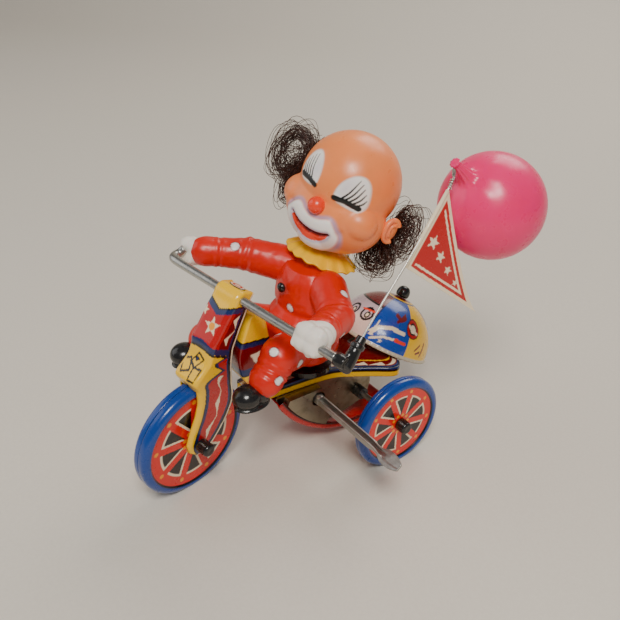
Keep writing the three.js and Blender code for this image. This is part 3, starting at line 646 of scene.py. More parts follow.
# ---- folded tin: fork, deck and neck ---------------------------------------------------------------
def channel(along, half, hem, crown, corner, step):
    """A folded channel: across, depth and along for each row, from one hem over the crown to the other."""
    widest = max(abs(h - c) for h, c in zip(hem, crown))
    side_count = max(4, int(widest / step))
    arc_count = 6
    top_count = max(6, int(2 * max(half) / step))
    rows = []
    for z, w, low, top, r in zip(along, half, hem, crown, corner):
        way = math.copysign(1, low - top)
        side = [(w, low + (top + way * r - low) * t) for t in np.linspace(0, 1, side_count)]
        arc = [(w - r + r * math.cos(a), top + way * r * (1 - math.sin(a)))
               for a in np.linspace(0, math.pi / 2, arc_count)[1:]]
        top_row = [(x, top) for x in np.linspace(w - r, r - w, top_count)[1:-1]]
        other = [(-x, d) for x, d in [*side, *arc][::-1]]
        rows.append([(x, d, z) for x, d in [*side, *arc, *top_row, *other]])
    return np.array(rows)


FORK_REAR = [(-6.6, 0), (-5, 4.6), (-0.4, 8.6), (6, 11.2), (13.4, 13), (20.3, 13.5), (25.3, 12.3), (30, 9.7),
             (35, 7.5), (41, 4.7), (49.5, 2.5), (60, 3), (67, 3.6), (74, 4.2), (76.4, 5)]
FORK_FRONT = [(-6.6, 0), (-5.2, -4), (-1.6, -6.5), (6, -6.9), (14, -6.7), (21, -7.6), (28.5, -11), (31.6, -15.2),
              (34.2, -14.4), (38.4, -11.8), (42, -10.1), (47, -10.3), (50.5, -11.4), (56.2, -9.6), (66, -7.2),
              (70.4, -5.6), (74.6, -5.2), (76.4, -3)]
CROWN_EDGE = [(-7, 2.6), (20, 3.0), (28, 4.2), (34, 7.2), (37.5, 10.5), (38.6, 11.4), (40.8, 5.0), (42.4, 3.6),
              (43.8, 6.5), (45.6, 10.0), (46.6, 12.0)]


def fork_art(points, front, rear):
    """Yellow cap and crown, red panels with a star and lightning, black and blue lines, a cream hem."""
    x, y, z = points.T
    side = np.abs(x)
    yellow_edge = np.interp(z, *np.array(CROWN_EDGE).T)
    from_front = (y - front) + np.where(side > FORK_HALF - 0.05, 0.0, FORK_HALF - 2.2 - side) * (side < 5.35)
    past = from_front - yellow_edge
    on_side = side > FORK_HALF - 2.0
    band = 50.2 - 0.22 * side - 0.12 * (y - front)
    cap_edge = 67.0 + 0.42 * np.abs(x - 1.0) + 0.1 * (y - front)
    from_rear = rear - y
    colours = blank(len(points), "red")
    bolt = lightning(from_front, z - 50, 7.6, 9.0, 1.5, 0.35, 1.3) & on_side
    upper = (z > band) & (z < cap_edge)
    star = inside(x, z, star_outline(1.6, 58.6, 4.6, lean=0.2))
    blade_middle = (yellow_edge + rear - front) / 2
    blade_bolt = lightning(from_front, z, blade_middle, 14.0, 1.0, 0.25, 1.35) & on_side & (z < 36) & (z > 2)
    shade = upper & on_side & (from_front > 4.2) & (from_front < 10.6)
    paint(
        colours, (shade, "deep red"), (upper & bolt & (z > 51.5) & (z < cap_edge - 3.5), "cream"),
        ((z < band) & blade_bolt, "cream"),
        (upper & star & (side < FORK_HALF - 0.6) & (y < front + 3), "cream"),
        (upper & (np.hypot(x - 1.6, z - 58.6) < 1.7) & (y < front + 3), "orange"),
        (upper & inside(x, z, star_outline(-6.2, 63.5, 2.6)) & (y < front + 3), "cream"),
        ((z < band) & (past < 2.3), "navy"), ((z < band) & (past < 0.75), "black"),
        ((z < band) & (past < 0) & (z < 47.2), "yellow"),
        (np.abs(z - band - 0.2) < 1.5, "navy"), (np.abs(z - band + 1.9) < 0.55, "black"),
        (on_side & (z > 41) & (z < 46) & (past > 3.0) & (past < 5.4), "red"),
        ((z > cap_edge - 3.2), "navy"), ((z > cap_edge - 0.8), "black"), ((z > cap_edge), "yellow"),
        (on_side & (from_rear < 3.2) & (z < cap_edge), "navy"),
        (on_side & (from_rear < 2.3) & (z < cap_edge), "black"),
        (on_side & (from_rear < 0.9), "cream"),
    )
    crown = (z > 29) & (z < 47) & ~on_side
    for cx, cz, lean in ((-3.6, 37.8, 0.5), (0.6, 41.6, -0.5), (3.4, 35.6, 0.15)):
        u = (x - cx) * math.cos(lean) + (z - cz) * math.sin(lean)
        v = -(x - cx) * math.sin(lean) + (z - cz) * math.cos(lean)
        reach = np.maximum(np.abs(u) / 2.1, np.abs(v) / 2.9)
        paint(colours, (crown & (reach > 0.8) & (reach < 1.16), "black"))
    return colours


class TRICYCLE_OT_fork(bpy.types.Operator):
    """Fold and print the fork with its oval badge"""

    bl_idname = "tricycle.fork"
    bl_label = "Fork"

    def execute(self, context):
        step = finish().print_step
        along = np.r_[np.arange(-6.4, 76.0, step), 76.2, 76.4]
        rear = np.interp(along, *np.array(FORK_REAR).T)
        front = np.interp(along, *np.array(FORK_FRONT).T)
        soften = np.ones(7) / 7
        rear[4:-4] = np.convolve(rear, soften, "same")[4:-4]
        front[4:-4] = np.convolve(front, soften, "same")[4:-4]
        corner = np.minimum(2.2, (rear - front) * 0.45)
        half = np.full(len(along), FORK_HALF)
        rows = channel(along, half, rear, front, corner, step)
        top = rows[-1]
        domed = [np.column_stack([top[:, 0] * k, 1 + (top[:, 1] - 1) * k, np.full(len(top), 76.4 + lift)])
                 for k, lift in ((0.93, 0.45), (0.82, 0.6), (0.5, 0.62), (0.0, 0.62))]
        rows = np.concatenate([rows, np.array(domed)])
        count = rows.shape[1]
        span = np.arange(count - 1)
        side_end = np.argmax(np.abs(rows[0][:, 0]) < FORK_HALF - 0.001)
        open_front = (span >= side_end + 4) & (span < count - side_end - 5)
        low = np.r_[along, [77] * len(domed)][:-1] < 27.6
        keep = ~(low[:, None] & open_front[None, :])
        flat = rows.reshape(-1, 3)
        front_all = np.repeat(np.r_[front, [front[-1]] * len(domed)], count)
        rear_all = np.repeat(np.r_[rear, [rear[-1] + 9] * len(domed)], count)
        art = fork_art(flat, front_all, rear_all)
        thing = piece("folded_fork", flat, grid(len(rows), count, keep=keep), STEERING, "steering", "print",
                      ("fork",), art)
        loose = bmesh.new()
        loose.from_mesh(thing.data)
        bmesh.ops.delete(loose, geom=[v for v in loose.verts if not v.link_faces], context="VERTS")
        loose.to_mesh(thing.data)
        loose.free()
        thicken(thing, TIN)
        badge = [(4.6 * math.cos(a), 2.2 * math.sin(a))
                 for a in np.linspace(0, 2 * math.pi, 48, endpoint=False)]
        rings = [(1.0, 76.9), (1.0, 77.3), (0.94, 77.4), *[(k, 77.42) for k in np.linspace(0.88, 0.0, 14)]]
        points = np.array([(0.5 + bx * k, 1 + by * k, z) for k, z in rings for bx, by in badge])
        reach = np.hypot((points[:, 0] - 0.5) / 4.6, (points[:, 1] - 1) / 2.2)
        art = paint(blank(len(points), "cream"), (reach > 0.9, "black"), (reach < 0.66, "red"),
                    ((reach < 0.4), "cream"))
        piece("printed_badge", points, grid(len(rings), 48, loop_columns=True), STEERING, "steering", "print",
              ("crown_badge",), art)
        return {"FINISHED"}


DECK_HALF = [(-60, 8), (-52, 9), (-36, 10), (-22, 11.5), (-15, 13), (-7, 18), (1.2, 23.4), (7, 27.9), (10.4, 29.4),
             (13, 28.6), (15, 26)]
NECK_FRONT = [(44.3, -57), (50, -62), (56, -65.4), (69, -66.6), (87, -59.6)]
NECK_REAR = [(44.3, -40), (58, -45), (72, -49.5), (84, -51.2), (87, -53)]
GUARD_MIDDLE = (3, 66)
GUARD_RADIUS = 60.2


def deck_art(points, half):
    """Dark red top with cream triangles in a yellow line and dark edge, over a navy and yellow flange."""
    x, y, z = points.T
    from_edge = half - np.abs(x)
    on_top = z > 43.95
    tooth = ((y / 7.0) % 1.0) * 3.4
    colours = blank(len(points), "deep red")
    return paint(
        colours, (on_top & (from_edge < 7.2) & (from_edge > 3.2) & (from_edge - 3.2 < tooth), "cream"),
        (on_top & (np.abs(from_edge - 8.2) < 0.5), "yellow"), (on_top & (from_edge < 2.6), "navy"),
        (on_top & (from_edge < 1.4), "black"), (~on_top, "navy"),
        (~on_top & (z < 42.9), "black"), (~on_top & (z < 41.9), "yellow"),
    )


def neck_art(points):
    """Yellow head, dark blue line, red panel with a cream triangle, yellow foot."""
    _, y, z = points.T
    lift = z + 0.1 * (y + 58)
    triangle = inside(y, z, [(-60.5, 66.5), (-52.5, 67.5), (-57.5, 61.0)])
    small = inside(y, z, [(-50.5, 66.5), (-48.5, 62.0), (-52.5, 62.5)])
    return paint(
        blank(len(points), "deep red"), (triangle | small, "cream"), (lift > 70.6, "navy"),
        (lift > 73.0, "black"), (lift > 73.8, "yellow"), (lift < 59.2, "navy"), (lift < 55.6, "black"),
        (lift < 54.9, "yellow"), (lift < 52.0, "orange"), (lift < 48.5, "yellow"),
    )


class TRICYCLE_OT_chassis(bpy.types.Operator):
    """Fold and print the deck and the neck, and roll the guard under the clockwork"""

    bl_idname = "tricycle.chassis"
    bl_label = "Chassis"

    def execute(self, context):
        step = finish().print_step
        along = np.append(np.arange(-60, 14.9, step), 15.0)
        outline = rounded([(y, w) for y, w in DECK_HALF], 3)
        half = np.interp(along, outline[:, 0], outline[:, 1])
        rows = channel(along, half, np.full(len(along), 39.0), np.full(len(along), 44.0),
                       np.full(len(along), 0.7), step)
        flat = rows.reshape(-1, 3)
        points = flat[:, [0, 2, 1]]
        widths = np.repeat(half, rows.shape[1])
        faces = grid(len(along), rows.shape[1])
        last = points[-rows.shape[1]:]
        crown = [i for i, point in enumerate(last) if point[2] > 43.9]
        start = len(points)
        depths = (43.2, 42.4, 41.6, 40.8, 40.0, 39.0)
        points = np.vstack([points, *[last[crown] * (1, 1, 0) + (0, 0, z) for z in depths]])
        widths = np.r_[widths, np.full(len(points) - len(widths), half[-1] + 1.2)]
        above = [start - rows.shape[1] + i for i in crown]
        for k in range(len(depths)):
            below = [start + k * len(crown) + i for i in range(len(crown))]
            faces += [(above[i], above[i + 1], below[i + 1], below[i]) for i in range(len(crown) - 1)]
            above = below
        deck = piece("folded_deck", points, faces, GROUND, "chassis", "print", ("chassis_deck",),
                     deck_art(points, widths))
        thicken(deck, 0.7)

        levels = np.r_[np.arange(44.3, 86.6, step), 87.0]
        front = np.interp(levels, *rounded(NECK_FRONT, 3).T)
        rear = np.interp(levels, *rounded(NECK_REAR, 3).T)
        outline = []
        for sx, sy, start in ((1, 1, 0), (-1, 1, 90), (-1, -1, 180), (1, -1, 270)):
            for a in np.radians(np.linspace(start, start + 90, 5)):
                outline.append((sx, sy, math.cos(a), math.sin(a)))
        rings = []
        for z, f, r in zip(levels, front, rear):
            middle, deep, round_r = (f + r) / 2, (r - f) / 2, 1.3
            corners = [(sx * (7 - round_r) + round_r * c, middle + sy * (deep - round_r) + round_r * s)
                       for sx, sy, c, s in outline]
            rings.append([(x, y, z) for x, y in resample(corners, step, closed=True)[:-1]])
        fewest = min(len(ring) for ring in rings)
        rings = [[ring[int(i * len(ring) / fewest)] for i in range(fewest)] for ring in rings]
        last = np.array(rings[-1])
        centre = last.mean(0)
        for k, lift in ((0.96, 0.2), (0.8, 0.25), (0.4, 0.25), (0.0, 0.25)):
            rings.append([tuple(centre + (np.array(p) - centre) * k + (0, 0, lift)) for p in last])
        points = np.array(rings).reshape(-1, 3)
        piece("folded_neck", points, grid(len(rings), fewest, loop_columns=True), GROUND, "chassis", "print",
              ("steering_neck",), neck_art(points))

        section = rounded([(-14.5, -3.0), (-14.5, 0.9), (-13.7, 1.0), (-13.0, 0.0), (13.0, 0.0), (13.7, 1.0),
                           (14.5, 0.9), (14.5, -3.0)], 2)
        section = resample(section, 1.0)
        angles = np.radians(np.linspace(209, 288, 90))
        y, z = GUARD_MIDDLE
        points = np.array([(x, y + (GUARD_RADIUS + d) * math.cos(a), z + (GUARD_RADIUS + d) * math.sin(a))
                           for a in angles for x, d in section])
        art = blank(len(points), "red")
        depth = np.hypot(points[:, 1] - y, points[:, 2] - z) - GUARD_RADIUS
        # painted shade: above the red band the walls are painted black, then deep red, for the shadowed inside of
        # the guard
        paint(art, (depth < -1.6, "black"), (depth < -2.4, "deep red"))
        guard = piece("rolled_guard", points, grid(len(angles), len(section)), GROUND, "chassis", "print",
                      ("clockwork_guard",), art)
        thicken(guard, 0.6)
        return {"FINISHED"}


# ---- bell ------------------------------------------------------------------------------------------
def bell_art(points):
    """Blue field with cream sprays, a pale scroll panel, a yellow panel and a ring badge, twice round."""
    x, y, height = points.T
    turn = (np.degrees(np.arctan2(y, x)) + 150.0) % 180.0
    arc = np.radians(turn - 108.0) * BELL_RADIUS
    pale, blue, yellow = turn < 82, (turn >= 82) & (turn < 134), turn >= 134
    colours = blank(len(points), "blue")
    paint(colours, (pale, "pale"), (yellow, "yellow"), (np.abs(turn - 82) < 1.2, "navy"))
    blend_in(colours, pale * np.clip((height - 9) / 6, 0, 0.45), "lavender")
    for cx, cz, r in ((-17.5, 12.0, 3.6), (-28.0, 11.0, 3.2)):
        reach = np.hypot(arc - cx, (height - cz) * 1.15)
        swirl = np.hypot(arc - cx - 0.6, height - cz + 0.4)
        paint(colours, (pale & (np.abs(reach - r) < 0.65), "black"), (pale & (swirl < r * 0.5), "black"),
              (pale & (swirl < r * 0.28), "cream"))
    paint(
        colours, (pale & (stroke(arc, height, [(-24, 6.0), (-21, 5.4)]) < 0.5), "black"),
        (pale & (stroke(arc, height, [(-22.5, 13.4), (-11, 14.8)]) < 0.45), "lip"),
        (pale & (height > 17.6) & (height < 18.6), "black"), (pale & (height >= 18.6), "deep red"),
    )
    for line, width, name in (
        ([(-9.4, 5.0), (-7.0, 9.2), (-0.5, 11.4), (7.6, 11.2)], 0.95, "cream"),
        ([(-8.6, 2.6), (-2.4, 6.0), (4.0, 6.9)], 0.6, "cream"), ([(4.0, 6.9), (9.4, 6.7)], 0.85, "lip"),
        ([(-9.8, 6.4), (-8.4, 9.6), (-8.6, 12.2)], 0.4, "cream"), ([(-11.0, 5.6), (-9.6, 7.2)], 0.4, "cream"),
        ([(-10.2, 4.0), (-8.2, 4.6)], 0.35, "cream"),
        ([(0.0, 18.0), (4.0, 16.4), (7.0, 17.8)], 0.9, "deep red"),
        ([(2.0, 15.4), (6.4, 19.0)], 0.8, "deep red"),
    ):
        paint(colours, (blue & (stroke(arc, height, line) < width), name))
    paint(colours, (blue & inside(arc, height, star_outline(-3.4, 3.4, 1.3)), "cream"))
    for line in ([(17.5, 5.4), (20.6, 8.4)], [(19.0, 4.0), (21.4, 5.0)], [(22.6, 3.0), (24.6, 9.6)]):
        paint(colours, (yellow & (stroke(arc, height, line) < 0.55), "deep red"))
    badge = np.hypot(arc - 13.6, (height - 14.6) * 1.12)
    paint(colours, (badge < 4.9, "black"), (badge < 4.4, "red"), (badge < 3.0, "black"), (badge < 2.2, "cream"),
          ((badge < 4.4) & (stroke(arc, height, [(10.6, 15.6), (16.8, 13.0)]) < 0.7), "cream"))
    reach = np.hypot(x, y)
    return paint(colours, (reach < 8.4, "navy"), (reach < 7.4, "yellow"), (reach < 6.2, "deep red"),
                 (height < 1.0, "C9BFA4"))


class TRICYCLE_OT_bell(bpy.types.Operator):
    """Spin and print the bell dome and turn its knob"""

    bl_idname = "tricycle.bell"
    bl_label = "Bell"

    def execute(self, context):
        step = finish().print_step
        r, h = BELL_RADIUS, BELL_HEIGHT
        rim = [(r - 0.6, -1.0), (r + 0.2, -1.1), (r + 0.6, -0.6), (r + 0.6, 0.2), (r + 0.2, 0.7), (r, 1.0)]
        dome = [(r * math.cos(a), h * math.sin(a)) for a in np.linspace(0.05, 1.5, 50)]
        outside = resample([*rounded(rim, 2), *dome], step)
        inner = [((r - 0.9) * math.cos(a), (h - 0.9) * math.sin(a)) for a in np.linspace(1.46, 0.0, 30)]
        profile = [*outside, *inner, (r - 0.9, -0.8)]
        sides = int(2 * math.pi * r / step)
        points, faces = lathe(profile, sides)
        art = bell_art(points)
        hidden = len(outside) * sides
        art[hidden:] = ink("A89C80")
        rib = np.abs(points[:, 2] + 0.2) < 0.9
        turn = np.arctan2(points[:, 1], points[:, 0])
        points[rib, :2] *= (1 + 0.006 * np.sin(turn[rib] * 60))[:, None]
        piece("spun_bell", points, faces, BELL, "chassis", "print", ("bell_dome",), art)
        knob = [(1.9, 0.2), (3.2, 0.2), (3.6, 1.4), (3.6, 2.8), (3.1, 4.6), (1.9, 5.9), (0.0, 6.2)]
        points, faces = lathe(resample(rounded([(a, h + b) for a, b in knob], 3), 0.3), 40)
        turn = np.arctan2(points[:, 1], points[:, 0])
        fluted = (points[:, 2] > h + 0.8) & (points[:, 2] < h + 4)
        points[fluted, :2] *= (1 - 0.035 * (np.cos(turn[fluted] * 10) > 0.3))[:, None]
        piece("turned_bell_knob", points, faces, BELL, "chassis", "black", ("bell_nut",))
        return {"FINISHED"}


# ---- handlebar, wire, pennant and balloon ----------------------------------------------------------
BAR = [(62, -1, 73), (40, -1, 73), (0, -1, 73), (-24, -1, 73), (-35, -1, 73), (-40.4, -0.6, 73),
       (-43.6, 2.2, 73.2), (-43.6, 5.6, 74.6), (-42.4, 6.8, 77.4)]
WIRE = [(65.5, 6.2, 79.8), (65.3, 8, 84), (65, 13.4, 97), (65, 21, 114.5), (65, 28, 134), (65, 33.2, 149.2)]
HOOK = [(65, 33.6, 153.4), (64.6, 33.3, 155.6), (63.7, 32.6, 156.6), (64.0, 32.9, 154.6), (64.6, 33.4, 153.0)]
HOIST_LOW = np.array((65, 21.4, 113.6))
HOIST_HIGH = np.array((65, 32.4, 147.4))
PENNANT_TIP = (66, 21, 91)
BALLOON_AT = (56, 34.1, 134.9)
BALLOON_NECK = (64, 32.2, 158.4)


class TRICYCLE_OT_handlebar(bpy.types.Operator):
    """Bend the handlebar and the balloon wire, and mould the wire holder"""

    bl_idname = "tricycle.handlebar"
    bl_label = "Handlebar"

    def execute(self, context):
        tube, tube_faces = sweep(BAR, 2.1, 28, 0.6, caps=False)
        bore, bore_faces = sweep(BAR, 1.5, 28, 0.6, caps=False)
        points, faces = merged((tube, tube_faces), (bore, bore_faces))
        start = len(tube)
        for end in (0, start - 28):
            faces += grid_between(end, end + start, 28)
        piece("bent_handlebar", points, faces, STEERING, "steering", "chrome", ("handlebar",))
        wire, wire_faces = sweep(WIRE + HOOK[:1], 0.5, 10, 0.6)
        hook, hook_faces = sweep(HOOK, 0.42, 8, 0.25)
        twist = [(65 + 0.75 * math.cos(t * 2.6), 33.0 + 0.75 * math.sin(t * 2.6), 148.2 + t * 0.42)
                 for t in np.linspace(0, 10, 70)]
        coil, coil_faces = sweep(twist, 0.3, 6)
        points, faces = merged((wire, wire_faces), (hook, hook_faces), (coil, coil_faces))
        piece("bent_wire", points, faces, STEERING, "steering", "wire", ("balloon_wire",))
        sleeve, sleeve_faces = sweep([(62.3, -1, 73), (63.2, -1, 73), (64.4, -1, 73), (67.2, -1, 73)],
                                     [2.95, 3.1, 2.9, 2.6], 28, 0.4)
        arm = [(66.6, 0.2, 70.2), (66.2, 1.6, 71.2), (65.9, 3.6, 75.4), (65.6, 5.8, 79.6), (65.3, 7.6, 83.4)]
        post, post_faces = sweep(arm, [3.0, 3.1, 2.7, 2.35, 2.1], 28, 0.5)
        collar, collar_faces = sweep([(65.7, 5.4, 78.6), (65.6, 6.2, 80.4)], [3.1, 3.1], 28)
        lug, lug_faces = ellipsoid((65.9, 3.4, 75.0), (2.2, 3.6, 3.4))
        points, faces, _ = moulded([(sleeve, sleeve_faces), (post, post_faces), (collar, collar_faces),
                                    (lug, lug_faces)], 0.3, 3)
        piece("moulded_wire_holder", points, faces, STEERING, "steering", "black", ("wire_holder",))
        return {"FINISHED"}


class TRICYCLE_OT_pennant(bpy.types.Operator):
    """Cut, curl and print the pennant"""

    bl_idname = "tricycle.pennant"
    bl_label = "Pennant"

    def execute(self, context):
        up = HOIST_HIGH - HOIST_LOW
        length = np.linalg.norm(up)
        up /= length
        tip = np.array(carried(PENNANT_TIP, GROUND, STEERING))
        out = tip - HOIST_LOW
        rise = out.dot(up)
        out -= up * rise
        reach = np.linalg.norm(out)
        out /= reach
        normal = np.cross(out, up)
        rows, columns = 90, 90
        points, flat = [], []
        for r in range(rows):
            u = r / (rows - 1)
            low = rise * u
            bow = (1 - u) ** 1.35
            high = rise * u + length * bow + 0.6 * math.sin(math.pi * u)
            for c in range(columns):
                v = low + (high - low) * c / (columns - 1)
                curl = 0.55 * math.sin(u * 5.0 + v * 0.05) * u
                points.append(HOIST_LOW + out * (0.75 + reach * u) + up * v + normal * curl)
                flat.append((u * reach, v, v - low, high - v))
        flat = np.array(flat)
        a, v, from_low, from_high = flat.T
        edge = np.minimum(from_low * 0.8, from_high * 0.62)
        art = paint(blank(len(points), "red"), (((edge < 1.25) | (a < 1.6)), "cream"))
        for k in range(4):
            cx = 6.0 + 7.2 * k
            middle = rise * cx / reach + length * (1 - cx / reach) ** 1.35 * 0.5
            paint(art, ((edge > 2) & inside(a, v, star_outline(cx, middle, 3.4 - 0.55 * k)), "cream"))
        stripe = (edge > 2.3) & (edge < 3.1) & (a > 3.0)
        paint(art, (stripe, "cream"))
        thing = piece("cut_pennant", points, grid(rows, columns), STEERING, "steering", "print", ("pennant",),
                      art)
        thicken(thing, 0.35, 0.0)
        sleeve_low = HOIST_LOW + out * 0.1
        sleeve, faces = sweep([sleeve_low, sleeve_low + up * length], 0.85, 16)
        piece("pennant_sleeve", sleeve, faces, STEERING, "steering", "print", (),
              blank(len(sleeve), "cream"))
        return {"FINISHED"}


class TRICYCLE_OT_balloon(bpy.types.Operator):
    """Blow the balloon with its gathered neck"""

    bl_idname = "tricycle.balloon"
    bl_label = "Balloon"

    def execute(self, context):
        centre = np.array(carried(BALLOON_AT, GROUND, STEERING))
        neck = np.array(BALLOON_NECK) - centre
        reach = np.linalg.norm(neck)
        turn = Vector((0, 0, 1)).rotation_difference(Vector(neck))
        radius = BALLOON_RADIUS
        skin = [(radius * math.sin(a), -radius * math.cos(a)) for a in np.linspace(0.0, 2.78, 60)]
        lead = [(5.2, radius - 0.9), (3.0, radius + 0.6), (1.7, reach - 1.4), (1.5, reach - 0.6),
                (2.5, reach + 0.5), (1.6, reach + 0.8), (0.0, reach + 0.5)]
        profile = np.array(resample([*skin, *rounded(lead, 2)], 0.8))
        points, faces = lathe(profile, 96)
        around = np.arctan2(points[:, 1], points[:, 0])
        gather = np.clip((points[:, 2] - radius * 0.78) / (radius * 0.3), 0, 1)
        points[:, :2] *= (1 + 0.07 * gather * np.sin(around * 9))[:, None]
        points = np.array([turn @ Vector(p) for p in points]) + centre
        piece("blown_balloon", points, faces, STEERING, "steering", "balloon", ("balloon",))
        return {"FINISHED"}


# ---- clockwork -------------------------------------------------------------------------------------
class TRICYCLE_OT_clockwork(bpy.types.Operator):
    """Fold the winding key, and give the pieces kept from the frame their materials"""

    bl_idname = "tricycle.clockwork"
    bl_label = "Clockwork"

    def execute(self, context):
        key_middle = (-28.0, 33.0)
        section = [(-2.2, 1.6), (-2.2, -1.1), (-1.5, -1.8), (1.5, -1.8), (2.2, -1.1), (2.2, 1.6), (1.3, 1.6),
                   (1.2, -0.8), (-1.2, -0.8), (-1.3, 1.6)]
        blade = [(-3.7, 0.5), (-3.7, -0.5), (-1.5, -0.6), (1.5, -0.6), (3.7, -0.5), (3.7, 0.5), (2.0, 0.55),
                 (1.0, 0.4), (-1.0, 0.4), (-2.0, 0.55)]
        rows = []
        stations = np.linspace(16.0, 77.0, 123)
        for x in stations:
            t = np.clip((x - 60.0) / 8.0, 0, 1)
            t = t * t * (3 - 2 * t)
            lean = math.radians(38) * np.clip((x - 58.0) / 12.0, 0, 1)
            pinch = 1 - 0.25 * math.sin(math.pi * np.clip((x - 57) / 10, 0, 1))
            taper = 1 - 0.55 * np.clip((x - 70) / 7, 0, 1) ** 2
            for (ay, az), (by, bz) in zip(section, blade):
                y = (ay + (by - ay) * t) * pinch * taper
                z = (az + (bz - az) * t) * pinch
                rows.append((x, key_middle[0] + y * math.cos(lean) - z * math.sin(lean),
                             key_middle[1] + y * math.sin(lean) + z * math.cos(lean)))
        count = len(section)
        faces = grid(len(stations), count, loop_columns=True)
        faces += [tuple(range(count))[::-1], tuple(range(len(rows) - count, len(rows)))]
        shaft = sweep([(-12.4, *key_middle), (17, *key_middle)], 2.0, 24)
        ferrule = sweep([(15, *key_middle), (18.5, *key_middle)], [3.0, 2.6], 24)
        points, faces = merged((np.array(rows), faces), shaft, ferrule)
        thing = piece("folded_winding_key", points, faces, GROUND, "winding_arbor", "steel", ("winding_key",))
        thing.data.shade_flat()
        bevel = thing.modifiers.new("bevel", "BEVEL")
        bevel.width = 0.18 * MM
        bevel.segments = 2
        bevel.limit_method = "ANGLE"
        apply_modifiers(thing)
        kept = {"steel": ("rear_axle", "front_axle", "steering_pin", "plate_pillar_front", "plate_pillar_rear",
                          "mainspring", "bell_bracket", "bell_striker", "striker_hinge"),
                "tinplate": ("clockwork_plate_left", "clockwork_plate_right", "spring_gear", "middle_gear",
                             "axle_gear", "clockwork_cover"),
                "black": ("axle_bush_left", "axle_bush_right", "seat"), "glove": ("neck_plug",)}
        for name, nodes in kept.items():
            for node in nodes:
                for slot in frame["nodes"][node].material_slots:
                    slot.material = material(name)
        return {"FINISHED"}


# ---- rider -----------------------------------------------------------------------------------------
TORSO = [((0, -28, 66), (20, 17, 17.5)), ((0, -23, 84), (18.5, 14.5, 20))]
BUTTON = (0.8, -38.8, 92.6)
SUIT_DOTS = [(-8.0, -42.0, 74.0), (16.5, -30, 70), (-15, -36, 88), (3, -43.0, 62.0), (-17, -14, 78),
             (17, -12, 84), (0, -8.5, 92), (9, -8, 72), (-9, -8, 74), (6.2, -41.5, 83.0)]
LEG_DOTS = {"left": [(23.0, -58.0, 76.5), (27.0, -45, 66), (12, -49, 77), (27, -58, 64)],
            "right": [(-16, -63.5, 76), (-24, -50, 78), (-27.5, -61, 66), (-15, -72, 66)]}
ARM_DOTS = {"left": [(41.5, -33.5, 84.5), (28, -22, 97), (22, -29, 84)],
            "right": [(-28, -46, 104), (-24, -27, 104), (-32, -50, 92)]}


def suit_art(points, dots, size=2.0):
    """Red vinyl with round white dots, each ringed in a thin dark line."""
    colours = blank(len(points), finish().suit)
    for dot in dots:
        centre = points[np.argmin(np.linalg.norm(points - np.array(dot), axis=1))]
        reach = np.linalg.norm(points - centre, axis=1)
        blend_in(colours, (size + 0.5 - reach) / 0.45 + 0.5, "7A1008")
        blend_in(colours, (size - reach) / 0.45 + 0.5, "white")
        blend_in(colours, 0.35 * (1 - np.abs(reach - size * 0.62) / 0.4), "lavender")
    return colours


def creased(points, normals, depth, scale, seed):
    """Soft moulded folds pushed along the surface."""
    moved = points.copy()
    for i, (p, n) in enumerate(zip(points, normals)):
        value = noise.fractal(Vector(p) / scale + Vector((seed, 0, 0)), 0.9, 2.0, 3)
        moved[i] = p + n * depth * value
    return moved


def folds(points, normals, centre, way, count, pitch, depth, spread):
    """Rings of gathered cloth about a line, fading away from their middle."""
    along = (points - np.array(centre)) @ (np.array(way) / np.linalg.norm(way))
    fade = np.clip(1 - np.abs(along) / (count * pitch / 2), 0, 1)
    across = np.linalg.norm(points - np.array(centre) - np.outer(along, way) / np.linalg.norm(way), axis=1)
    near = np.clip(1 - (across - spread) / spread, 0, 1)
    return points + normals * (depth * np.sin(2 * math.pi * along / pitch) * fade * near)[:, None]


